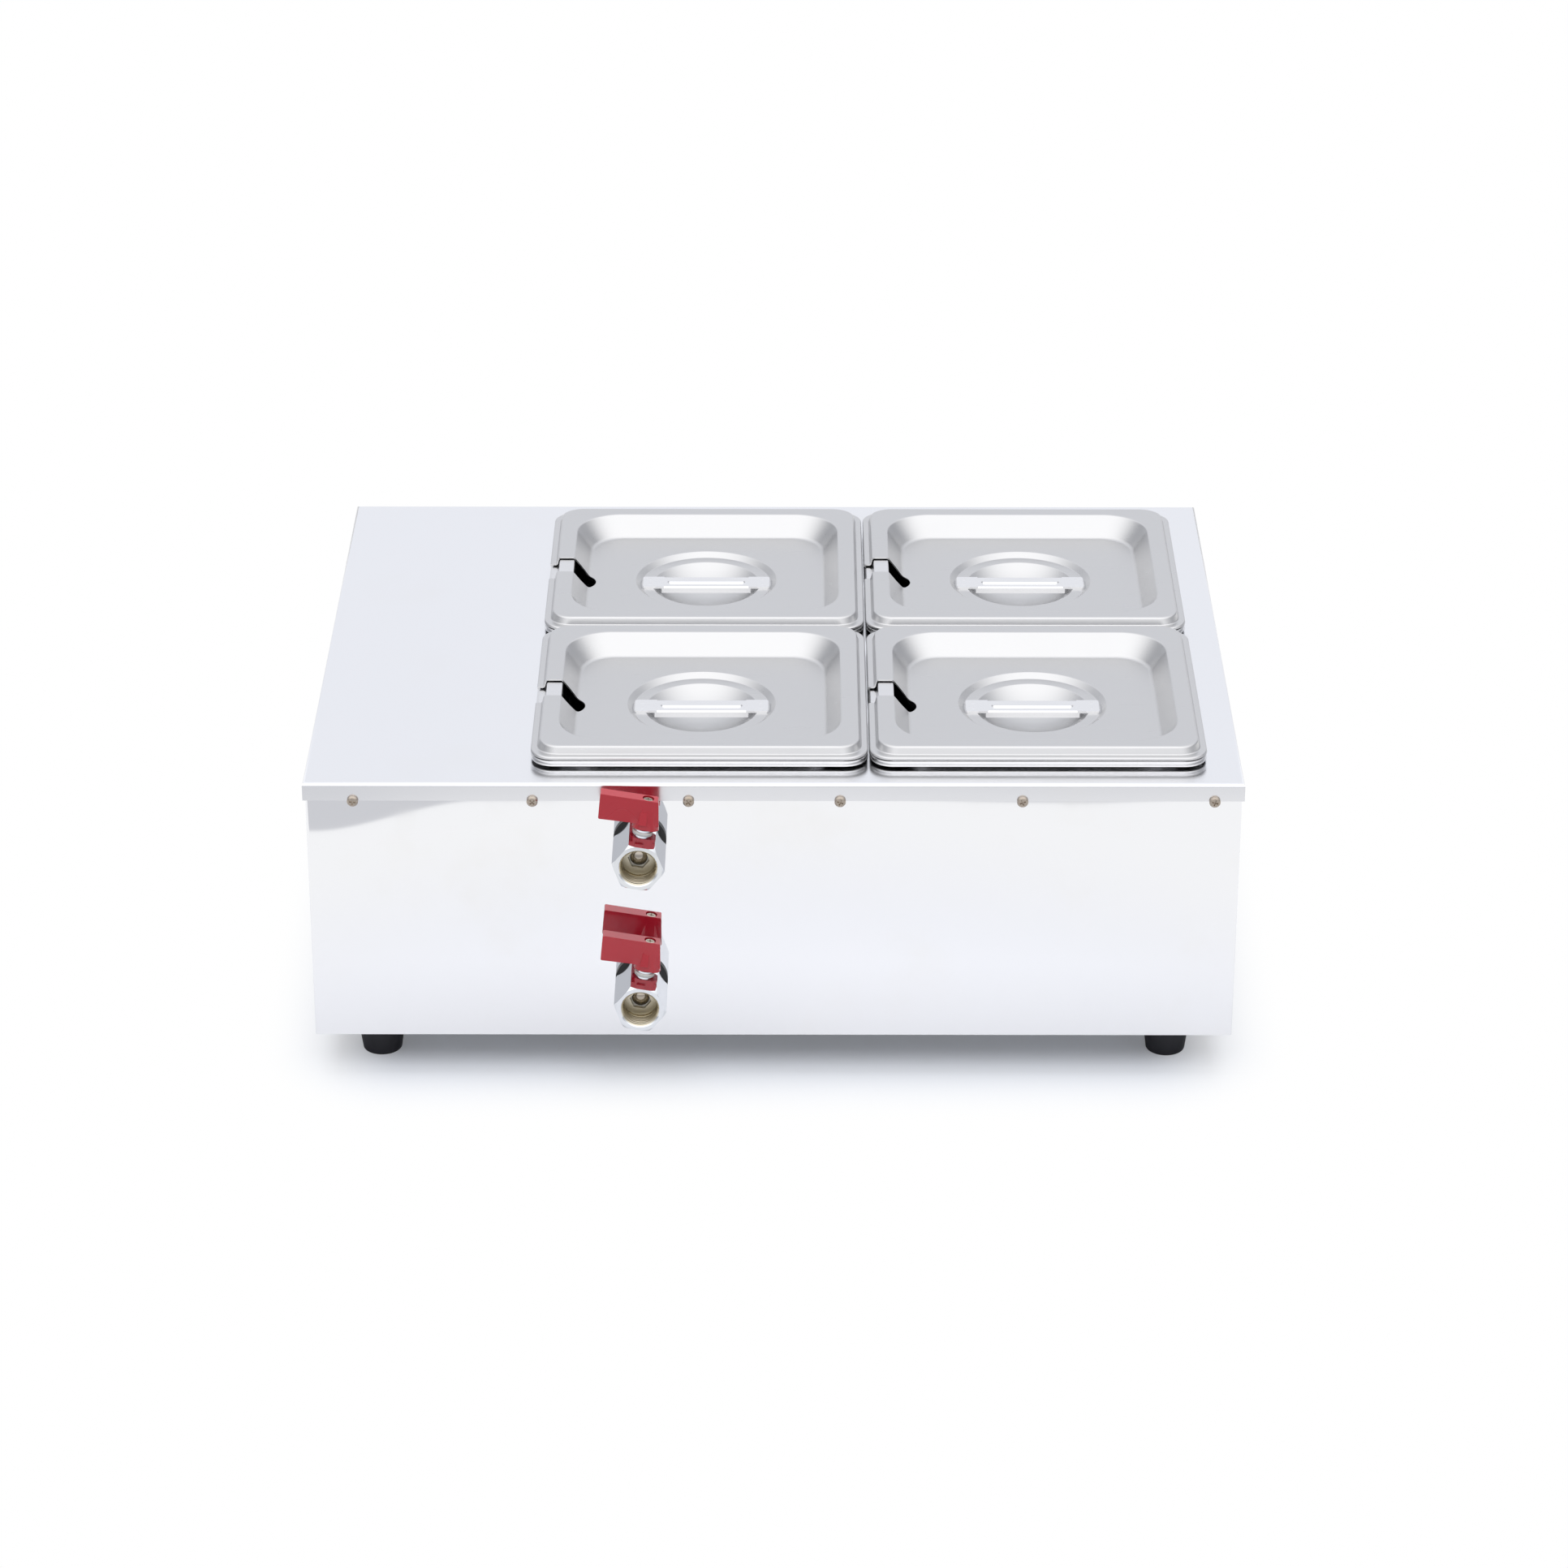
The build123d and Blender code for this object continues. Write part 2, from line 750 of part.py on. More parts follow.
# Saddles that hold the heater's long legs off the tank floor
saddle_x = [loop_x0 + 3 * heater_clearance, loop_x1 - 2 * heater_clearance]
leg_y = [s * y for y in (heater_inner_y, heater_outer_y) for s in (-1, 1)]
saddle_h = heater_lift - heater_r / 2
with BuildPart() as heater_saddles:
    for x in saddle_x:
        saddle_plane = Plane(
            origin=(x, tank_y, tank_z + sheet), x_dir=(0, 1, 0), z_dir=(1, 0, 0)
        )
        with BuildSketch(saddle_plane):
            with Locations((0, saddle_h / 2)):
                Rectangle(2 * heater_outer_y + 4 * heater_r, saddle_h)
            with Locations(*[(y, heater_lift) for y in leg_y]):
                Circle(heater_r + fit_gap, mode=Mode.SUBTRACT)
        extrude(amount=sheet, both=True)
heater_saddles.part.label = "heater_saddles"
export_step(heater_saddles.part, "parts/heater_saddles.step")

# Heat shield between the bath and the wiring
with BuildPart() as heat_shield:
    with BuildSketch(Plane(origin=(shield_x, mid_y, 0), z_dir=(-1, 0, 0), x_dir=(0, -1, 0))):
        with Locations((0, (plate_z + sheet + shell_top) / 2)):
            Rectangle(plate_d - 2 * plate_gap, shell_top - plate_z - sheet)
        with Locations((-heater_neck_y, heater_z), (heater_neck_y, heater_z)):
            Circle(2 * heater_r, mode=Mode.SUBTRACT)
        with Locations((-bulb_y, bulb_z)):
            Circle(2 * bulb_r, mode=Mode.SUBTRACT)
    extrude(amount=sheet)
    with BuildSketch(level(plate_z + sheet)):
        with Locations((shield_x - return_flange / 2, mid_y)):
            Rectangle(return_flange, plate_d - 2 * plate_gap)
    extrude(amount=sheet)
heat_shield.part.label = "heat_shield"
export_step(heat_shield.part, "parts/heat_shield.step")

# Thermostat: sensing bulb in the bath, capillary, gland, control body and spindle
knob_plane = rear_face(shell_z + knob_z, control_x)
with BuildPart() as thermostat_body:
    with BuildSketch(knob_plane.offset(-sheet)):
        RectangleRounded(thermostat_size, thermostat_size, thermostat_corner_r)
    extrude(amount=-thermostat_l)
    fillet(thermostat_body.edges().group_by(Axis.Y)[0], thermostat_edge_r)
    with BuildSketch(knob_plane.offset(-sheet)):
        Circle(spindle_r + fit_gap)
    extrude(amount=-spindle_reach - spindle_r, mode=Mode.SUBTRACT)
thermostat_body.part.label = "thermostat_body"
export_step(thermostat_body.part, "parts/thermostat_body.step")

bulb_end = (tank_x0 + sheet + bulb_l, tank_y + bulb_y, bulb_z)
body_back_y = rear_y - sheet - thermostat_l
capillary_route = [
    (tank_x0 + sheet, tank_y + bulb_y, bulb_z),
    (control_x, tank_y + bulb_y, bulb_z),
    (control_x, mid_y, shell_z + knob_z),
    (control_x, body_back_y, shell_z + knob_z),
]
with BuildPart() as thermostat_bulb:
    with BuildSketch(Plane(origin=bulb_end, z_dir=(-1, 0, 0))):
        Circle(bulb_r)
    extrude(amount=bulb_l)
    fillet(thermostat_bulb.edges().filter_by(GeomType.CIRCLE), bulb_r / 2)
    with BuildLine() as capillary_line:
        FilletPolyline(*capillary_route, radius=capillary_turn_r)
    with BuildSketch(Plane(origin=capillary_route[0], z_dir=(-1, 0, 0))):
        Circle(capillary_r)
    sweep(path=capillary_line.line)
thermostat_bulb.part.label = "thermostat_bulb"
export_step(thermostat_bulb.part, "parts/thermostat_bulb.step")

bulb_plane = left_face(bulb_z, tank_y + bulb_y, tank_x0)
with BuildPart() as bulb_gland:
    with BuildSketch(bulb_plane):
        RegularPolygon(3 * bulb_r / 2, 6, major_radius=False)
        Circle(capillary_r + fit_gap, mode=Mode.SUBTRACT)
    extrude(amount=2 * bulb_r)
    with BuildSketch(bulb_plane):
        Circle(bulb_r)
        Circle(capillary_r + fit_gap, mode=Mode.SUBTRACT)
    extrude(amount=-sheet)
bulb_gland.part.label = "bulb_gland"
export_step(bulb_gland.part, "parts/bulb_gland.step")

# Overheat cut-out on the tank's outside wall
with BuildPart() as overheat_cutout:
    with BuildSketch(left_face(heater_z + 3 * heater_r, tank_y + cutout_y, tank_x0)):
        Circle(cutout_r)
    extrude(amount=cutout_t)
    fillet(overheat_cutout.edges().group_by(Axis.X)[0], cutout_edge_r)
    with BuildSketch(left_face(heater_z + 3 * heater_r, tank_y + cutout_y, tank_x0)):
        Rectangle(cutout_tab_l, cutout_r)
    extrude(amount=sheet)
overheat_cutout.part.label = "overheat_cutout"
export_step(overheat_cutout.part, "parts/overheat_cutout.step")

with BuildPart() as thermostat_spindle:
    with BuildSketch(knob_plane.offset(-sheet - spindle_reach)):
        Circle(spindle_r)
    extrude(amount=sheet + spindle_reach + dial_t + knob_gap + knob_h / 2)
thermostat_spindle.part.label = "thermostat_spindle"
export_step(thermostat_spindle.part, "parts/thermostat_spindle.step")

# Dial plate behind the knob
with BuildPart() as dial_plate:
    with BuildSketch(knob_plane):
        Circle(dial_r)
        Circle(spindle_r + spindle_hole_gap, mode=Mode.SUBTRACT)
    extrude(amount=dial_t)
    chamfer(dial_plate.edges().group_by(Axis.Y)[-1].sort_by(SortBy.LENGTH)[-1], dial_t / 2)
dial_plate.part.label = "dial_plate"
export_step(dial_plate.part, "parts/dial_plate.step")

# Thermostat knob: thin skirt with a bar grip across it
with BuildPart() as thermostat_knob:
    with BuildSketch(knob_plane.offset(dial_t + knob_gap)):
        Circle(knob_r)
    extrude(amount=knob_skirt_t)
    fillet(thermostat_knob.edges().group_by(Axis.Y)[-1], knob_edge_r)
    with BuildSketch(knob_plane.offset(dial_t + knob_gap)):
        Circle(knob_hub_r)
    extrude(amount=knob_hub_h, taper=knob_hub_taper)
    with BuildSketch(knob_plane.offset(dial_t + knob_gap)):
        SlotOverall(2 * (knob_r - knob_grip_inset), knob_grip_w, rotation=90)
    extrude(amount=knob_h, taper=knob_grip_taper)
    fillet(thermostat_knob.edges().group_by(Axis.Y)[-1], knob_grip_r)
    with BuildSketch(knob_plane):
        Circle(spindle_r + fit_gap)
    extrude(amount=dial_t + knob_gap + knob_h / 2, mode=Mode.SUBTRACT)
thermostat_knob.part.label = "thermostat_knob"
export_step(thermostat_knob.part, "parts/thermostat_knob.step")

# Pilot lamps
lamp_planes = [
    rear_face(shell_z + lamp_z, control_x + side * lamp_spread) for side in (-1, 1)
]
with BuildPart() as lamp_bodies:
    with BuildSketch(*lamp_planes):
        Circle(lamp_bezel_r)
    extrude(amount=lamp_bezel_t)
    fillet(lamp_bodies.edges().group_by(Axis.Y)[-1], lamp_bezel_edge_r)
    with BuildSketch(*lamp_planes):
        Circle(lamp_body_r)
    extrude(amount=-lamp_body_l)
    with BuildSketch(*lamp_planes):
        Circle(lamp_lens_r + fit_gap)
    extrude(amount=lamp_bezel_t, mode=Mode.SUBTRACT)
lamp_bodies.part.label = "lamp_bodies"
export_step(lamp_bodies.part, "parts/lamp_bodies.step")

for lens_name, lamp_plane in zip(("heating_lens", "power_lens"), lamp_planes):
    with BuildPart() as lens:
        with BuildSketch(lamp_plane):
            Circle(lamp_lens_r)
        extrude(amount=lamp_lens_h)
        fillet(lens.edges().group_by(Axis.Y)[-1], lamp_lens_edge_r)
    lens.part.label = lens_name
    export_step(lens.part, f"parts/{lens_name}.step")

# Power switch: snap-in frame and a rocker on a cross pin
switch_plane = rear_face(shell_z + switch_z, control_x)
body_w = switch_w - 2 * switch_bezel_t
body_tall = switch_h - 2 * switch_bezel_t
well_w = body_w - 2 * switch_wall
well_tall = body_tall - 2 * switch_wall
with BuildPart() as switch_frame:
    with BuildSketch(switch_plane):
        RectangleRounded(switch_w, switch_h, switch_corner_r)
    extrude(amount=switch_bezel_t)
    fillet(switch_frame.edges().group_by(Axis.Y)[-1], switch_edge_r)
    with BuildSketch(switch_plane):
        Rectangle(body_w, body_tall)
    extrude(amount=-switch_l)
    with BuildSketch(switch_plane.offset(switch_bezel_t)):
        Rectangle(well_w, well_tall)
    extrude(amount=-switch_bezel_t - switch_well, mode=Mode.SUBTRACT)
    with BuildSketch(Plane.YZ.offset(control_x)):
        with Locations((rear_y - rocker_pin_depth, shell_z + switch_z)):
            Circle(rocker_pin_r + fit_gap)
    extrude(amount=body_w / 2, both=True, mode=Mode.SUBTRACT)
switch_frame.part.label = "switch_frame"
export_step(switch_frame.part, "parts/switch_frame.step")

# The rocker's top is a shallow vee; its lower half stands proud while it is off
rocker_half = well_tall / 2 - rocker_gap - rocker_end_gap
rest_tilt = radians(rocker_throw / 2)
rocker_axis = Plane(
    origin=(control_x, rear_y - rocker_pin_depth, shell_z + switch_z),
    x_dir=(0, cos(rest_tilt), sin(rest_tilt)),
    z_dir=(1, 0, 0),
)
rocker_valley = rocker_pin_depth + switch_bezel_t - rocker_sink
rocker_peak = rocker_valley + rocker_vee
with BuildPart() as switch_rocker:
    with BuildSketch(rocker_axis):
        with BuildLine():
            Polyline(
                (-rocker_keel, -rocker_keel_l / 2),
                (-rocker_skirt, -rocker_half),
                (rocker_peak, -rocker_half),
                (rocker_valley, 0),
                (rocker_peak, rocker_half),
                (-rocker_skirt, rocker_half),
                (-rocker_keel, rocker_keel_l / 2),
                close=True,
            )
        make_face()
    extrude(amount=well_w / 2 - rocker_gap, both=True)
    with BuildSketch(rocker_axis):
        Circle(rocker_pin_r)
    extrude(amount=body_w / 2 - rocker_gap, both=True)
switch_rocker.part.label = "switch_rocker"
export_step(switch_rocker.part, "parts/switch_rocker.step")

# Mains inlet, mounted from inside so that its mouth is flush with the panel
inlet_plane = left_face(shell_z + inlet_z, mid_y + inlet_y)


def inlet_outline(width, height, cut):
    """Inlet mouth: a rectangle with its two upper corners cut off."""
    with BuildSketch(inlet_plane) as outline:
        with BuildLine():
            Polyline(
                (-width / 2, -height / 2),
                (width / 2, -height / 2),
                (width / 2, height / 2 - cut),
                (width / 2 - cut, height / 2),
                (-width / 2 + cut, height / 2),
                (-width / 2, height / 2 - cut),
                close=True,
            )
        make_face()
    return outline.sketch


with BuildPart() as mains_inlet:
    with BuildSketch(inlet_plane.offset(-sheet)):
        RectangleRounded(inlet_plate_w, inlet_plate_h, inlet_plate_r)
        with GridLocations(inlet_screw_pitch, 0, 2, 1):
            Circle(inlet_screw_r, mode=Mode.SUBTRACT)
    extrude(amount=-inlet_plate_t)
    extrude(inlet_outline(inlet_w, inlet_h, inlet_cut), amount=-inlet_l)
    inlet_mouth = inlet_outline(
        inlet_w - 2 * inlet_wall, inlet_h - 2 * inlet_wall, inlet_mouth_cut
    )
    extrude(inlet_mouth, amount=-inlet_l + 2 * inlet_wall, mode=Mode.SUBTRACT)
    with BuildSketch(inlet_plane.offset(-inlet_l)):
        with Locations((-pin_spread, -pin_h / 2), (pin_spread, -pin_h / 2), (0, pin_h / 2)):
            Rectangle(pin_w + 2 * fit_gap, pin_h + 2 * fit_gap)
    extrude(amount=2 * inlet_wall, mode=Mode.SUBTRACT)
mains_inlet.part.label = "mains_inlet"
export_step(mains_inlet.part, "parts/mains_inlet.step")

with BuildPart() as inlet_pins:
    with BuildSketch(inlet_plane.offset(-inlet_l - pin_tail)):
        with Locations((-pin_spread, -pin_h / 2), (pin_spread, -pin_h / 2), (0, pin_h / 2)):
            Rectangle(pin_w, pin_h)
    extrude(amount=pin_tail + 2 * inlet_wall + pin_l)
inlet_pins.part.label = "inlet_pins"
export_step(inlet_pins.part, "parts/inlet_pins.step")

# Countersunk inlet screws, level with the panel's face
with BuildPart() as inlet_screws:
    with BuildSketch(inlet_plane):
        with GridLocations(inlet_screw_pitch, 0, 2, 1):
            Circle(inlet_screw_head_r - fit_gap)
    extrude(amount=-sheet)
    with BuildSketch(inlet_plane.offset(-sheet)):
        with GridLocations(inlet_screw_pitch, 0, 2, 1):
            Circle(inlet_screw_r - fit_gap)
    extrude(amount=-inlet_plate_t - inlet_screw_tail)
inlet_screws.part.label = "inlet_screws"
export_step(inlet_screws.part, "parts/inlet_screws.step")

# Ceramic terminal block on the bottom plate
block_x = (left_x + sheet + shield_x - return_flange) / 2
block_y = mid_y - block_shift
block_z = plate_z + sheet
way_pitch = block_l / block_ways
with BuildPart() as terminal_block:
    with BuildSketch(level(block_z)):
        with Locations((block_x, block_y)):
            Rectangle(block_l, block_w)
    extrude(amount=block_h)
    with BuildSketch(level(block_z + block_h)):
        with Locations((block_x, block_y)):
            with GridLocations(way_pitch, 0, block_ways - 1, 1):
                Rectangle(block_groove_w, block_w)
    extrude(amount=-block_groove_h, mode=Mode.SUBTRACT)
    with BuildSketch(level(block_z + block_h)):
        with Locations((block_x, block_y)):
            with GridLocations(way_pitch, block_w / 2, block_ways, 2):
                Circle(block_hole_r)
    extrude(amount=-block_hole_h, mode=Mode.SUBTRACT)
terminal_block.part.label = "terminal_block"
export_step(terminal_block.part, "parts/terminal_block.step")

# Ball valves
tilt = radians(valve_tilt)
across = (cos(tilt), 0, -sin(tilt))
stem_dir = (sin(tilt), 0, cos(tilt))
ball_y = panel_y - washer_t - ball_to_shoulder
outlet_l = hex_l - ball_to_shoulder
seat_in = sqrt(ball_r**2 - (ball_port_r + seat_land) ** 2)
seat_r = ball_r + chamber_gap
retainer_r = seat_r + retainer_step
flat = hex_af / 2
gland_top = flat + gland_h
handle_low = gland_top + handle_gap
handle_top = handle_low + handle_h

for place, valve_z in valve_levels.items():
    flow = Plane(origin=(valve_x, ball_y, valve_z), x_dir=across, z_dir=(0, -1, 0))
    rise = Plane(origin=flow.origin, x_dir=across, z_dir=stem_dir)
    back = -ball_to_shoulder

    # Bar turned at both ends, which gives the hexagon its rounded chamfers
    with BuildPart() as turned_bar:
        with BuildSketch(flow.offset(back)):
            Circle(hex_af / sqrt(3))
        extrude(amount=hex_l)
        chamfer(turned_bar.edges().filter_by(GeomType.CIRCLE), hex_chamfer)

    with BuildPart() as valve_body:
        with BuildSketch(flow.offset(back)):
            RegularPolygon(flat, 6, major_radius=False)
        extrude(amount=hex_l)
        add(turned_bar.part, mode=Mode.INTERSECT)
        with BuildSketch(rise):
            Circle(gland_r)
        extrude(amount=gland_top)
        with BuildSketch(flow.offset(back)):
            Circle(thread_outer_r)
        extrude(amount=-stub_l)
        with BuildSketch(flow.offset(-seat_in - seat_t)):
            Circle(seat_r)
        extrude(amount=2 * (seat_in + seat_t), mode=Mode.SUBTRACT)
        with BuildSketch(flow.offset(seat_in + seat_t)):
            Circle(retainer_r)
        extrude(amount=outlet_l, mode=Mode.SUBTRACT)
        with BuildSketch(flow.offset(outlet_l - thread_depth)):
            Circle(thread_bore_r)
        extrude(amount=thread_depth, mode=Mode.SUBTRACT)
        with BuildSketch(flow.offset(outlet_l - thread_depth)):
            Circle(thread_bore_r + thread_relief)
        extrude(amount=thread_relief_w, mode=Mode.SUBTRACT)
        with BuildSketch(flow):
            Circle(water_bore_r)
        extrude(amount=back - stub_l, mode=Mode.SUBTRACT)
        with BuildSketch(rise):
            Circle(stem_r + fit_gap)
        extrude(amount=gland_top, mode=Mode.SUBTRACT)
        mouth = valve_body.edges().filter_by(GeomType.CIRCLE).group_by(Axis.Y)[0]
        chamfer(mouth.sort_by(SortBy.LENGTH)[-1], thread_outer_r - thread_bore_r)
    valve_body.part.label = f"{place}_valve_body"
    export_step(valve_body.part, f"parts/{place}_valve_body.step")

    # Screwed-in retainer with a hexagonal bore
    with BuildPart() as retainer:
        with BuildSketch(flow.offset(seat_in + seat_t + fit_gap)):
            Circle(retainer_r - fit_gap)
            RegularPolygon(retainer_af / 2, 6, major_radius=False, mode=Mode.SUBTRACT)
        extrude(amount=outlet_l - thread_depth - seat_in - seat_t - fit_gap)
    retainer.part.label = f"{place}_valve_retainer"
    export_step(retainer.part, f"parts/{place}_valve_retainer.step")

    # Seat rings either side of the ball, and the ring under the gland
    with BuildPart() as seals:
        with BuildSketch(flow.offset(seat_in), flow.offset(-seat_in - seat_t)):
            Circle(seat_r - fit_gap)
            Circle(ball_port_r, mode=Mode.SUBTRACT)
        extrude(amount=seat_t)
        with Locations(flow):
            Sphere(ball_r + ball_gap, mode=Mode.SUBTRACT)
        with BuildSketch(rise.offset(flat)):
            Circle(gland_ring_r)
            Circle(gland_r + fit_gap, mode=Mode.SUBTRACT)
        extrude(amount=gland_ring_t)
    seals.part.label = f"{place}_valve_seals"
    export_step(seals.part, f"parts/{place}_valve_seals.step")

    with BuildPart() as washer:
        with BuildSketch(flow.offset(back)):
            Circle(washer_r)
            Circle(thread_outer_r + fit_gap, mode=Mode.SUBTRACT)
        extrude(amount=-washer_t)
    washer.part.label = f"{place}_valve_washer"
    export_step(washer.part, f"parts/{place}_valve_washer.step")

    # Ball, closed at rest: its port lies across the flow
    with BuildPart() as ball:
        with Locations(rise):
            Sphere(ball_r)
        with BuildSketch(Plane(origin=rise.origin, z_dir=across)):
            Circle(ball_port_r)
        extrude(amount=ball_r, both=True, mode=Mode.SUBTRACT)
        with BuildSketch(rise.offset(ball_r)):
            Rectangle(2 * ball_r, tang_t + 2 * fit_gap)
        extrude(amount=-ball_slot_depth, mode=Mode.SUBTRACT)
    ball.part.label = f"{place}_valve_ball"
    export_step(ball.part, f"parts/{place}_valve_ball.step")

    # Stem with a tang that turns the ball
    with BuildPart() as stem:
        with BuildSketch(rise.offset(ball_r)):
            Circle(stem_r)
        extrude(amount=handle_top - handle_recess_h - ball_r)
        with BuildSketch(rise.offset(ball_r)):
            Rectangle(tang_w, tang_t)
        extrude(amount=-tang_depth)
    stem.part.label = f"{place}_valve_stem"
    export_step(stem.part, f"parts/{place}_valve_stem.step")

    # Red winged handle: a plate whose end swells into a hub, with a raised rib on the hub
    side_view = Plane(origin=rise.origin, x_dir=across, z_dir=(0, -1, 0))
    lean = radians(handle_bar_tilt)
    bar_face = Plane(
        origin=rise.origin
        + Vector(*stem_dir) * (handle_low + handle_bar_rise)
        - Vector(*across) * handle_bar_shift
        - Vector(0, handle_bar_y, 0),
        x_dir=across,
        z_dir=Vector(*stem_dir) * sin(lean) - Vector(0, cos(lean), 0),
    )
    with BuildPart() as handle:
        with BuildSketch(side_view):
            with BuildLine():
                Polyline(
                    (handle_back, handle_top),
                    (-handle_reach - wing_flare, handle_top),
                    (-handle_reach, handle_top - wing_h),
                    (-handle_hub_l / 2, handle_top - wing_h + wing_rise),
                    (handle_back + handle_end_flare, handle_top - wing_h),
                    close=True,
                )
            make_face()
        extrude(amount=handle_t / 2, both=True)
        fillet(handle.edges().filter_by(Axis.Y), handle_edge_r)
        with BuildSketch(rise.offset(handle_low)):
            with Locations((handle_hub_shift, 0)):
                SlotOverall(handle_hub_l, handle_hub_t)
        with BuildSketch(rise.offset(handle_top - handle_hub_drop)):
            SlotOverall(handle_hub_top_l, handle_hub_top_t)
        loft(ruled=True)
        with BuildSketch(bar_face):
            Trapezoid(handle_bar_w, handle_bar_h, handle_bar_slant)
        extrude(amount=-handle_bar_t)
        with BuildSketch(rise.offset(handle_low)):
            Circle(stem_r)
        extrude(amount=handle_h - handle_recess_h, mode=Mode.SUBTRACT)
        with BuildSketch(rise.offset(handle_top)):
            Circle(handle_recess_r)
        extrude(amount=-handle_recess_h, mode=Mode.SUBTRACT)
    handle.part.label = f"{place}_valve_handle"
    export_step(handle.part, f"parts/{place}_valve_handle.step")

    with BuildPart() as handle_screw:
        with BuildSketch(rise.offset(handle_top - handle_recess_h)):
            Circle(handle_screw_r)
        extrude(amount=handle_screw_h)
        rim = handle_screw.edges().filter_by(GeomType.CIRCLE).sort_by(Axis.Z)[-1]
        fillet(rim, handle_screw_dome)
        with BuildSketch(rise.offset(handle_top - handle_recess_h + handle_screw_h)):
            Rectangle(driver_l, driver_w)
            Rectangle(driver_w, driver_l)
        extrude(amount=-driver_depth, mode=Mode.SUBTRACT)
    handle_screw.part.label = f"{place}_handle_screw"
    export_step(handle_screw.part, f"parts/{place}_handle_screw.step")


# Pan section, from the middle outwards: floor, wall, stacking shoulder, neck, flange, lip
neck_inset = pan_flange + pan_wall
pan_floor_inset = neck_inset + pan_step + pan_draft
shoulder_z = crown_z - pan_neck_h
pan_section = [
    (pan_floor_inset + 2 * pan_floor_r, crown_z - pan_depth, 0),
    (pan_floor_inset, crown_z - pan_depth, pan_floor_r),
    (neck_inset + pan_step, shoulder_z, 0),
    (neck_inset, shoulder_z + pan_step, 0),
    (neck_inset, crown_z, pan_bend_r),
    (pan_lip_run, crown_z, 0),
    (0, crown_z - pan_lip_fall, 0),
]
pan_rule = [(0, pan_rim_r), (pan_flange, pan_corner_r), (pan_floor_inset, pan_foot_corner_r)]

recess_inset = lid_rim + lid_rise_run + band_w
lid_section = [
    (recess_inset + recess_run + 2 * recess_floor_r, lid_floor_z, 0),
    (recess_inset + recess_run, lid_floor_z, recess_floor_r),
    (recess_inset, lid_band_z, lid_bend_r),
    (lid_rim + lid_rise_run, lid_band_z, lid_bend_r),
    (lid_rim, lid_z + lid_sheet, 0),
    (0, lid_z + lid_sheet, 0),
]
lid_rule = [
    (0, pan_rim_r),
    (lid_rim + lid_rise_run, lid_corner_r),
    (recess_inset, recess_corner_r),
    (recess_inset + recess_run, recess_foot_corner_r),
]


def lid_well(grow, centre):
    """Closed form of the stepped well and bowl; grow is lid_sheet outside, 0 inside."""
    ball = bowl_r + grow
    ledge = ledge_z - grow
    ball_z = ledge_z - bowl_depth + bowl_r
    edge = sqrt(ball**2 - (ball_z - ledge) ** 2)
    head = lid_floor_z - grow / 2 if grow else lid_floor_z + 1.0
    turn = asin(edge / ball) / 2
    with BuildPart() as form:
        with BuildSketch(Plane(origin=(*centre, 0), x_dir=(1, 0, 0), z_dir=(0, -1, 0))):
            with BuildLine():
                Polyline(
                    (0, head),
                    (well_d / 2 + grow, head),
                    (well_d / 2 + grow, lid_floor_z - grow),
                    (well_d / 2 - well_run + grow, ledge),
                    (edge, ledge),
                )
                ThreePointArc(
                    (edge, ledge),
                    (ball * sin(turn), ball_z - ball * cos(turn)),
                    (0, ball_z - ball),
                )
                Line((0, ball_z - ball), (0, head))
            make_face()
        revolve(axis=Axis((*centre, 0), (0, 0, 1)))
    return form.part


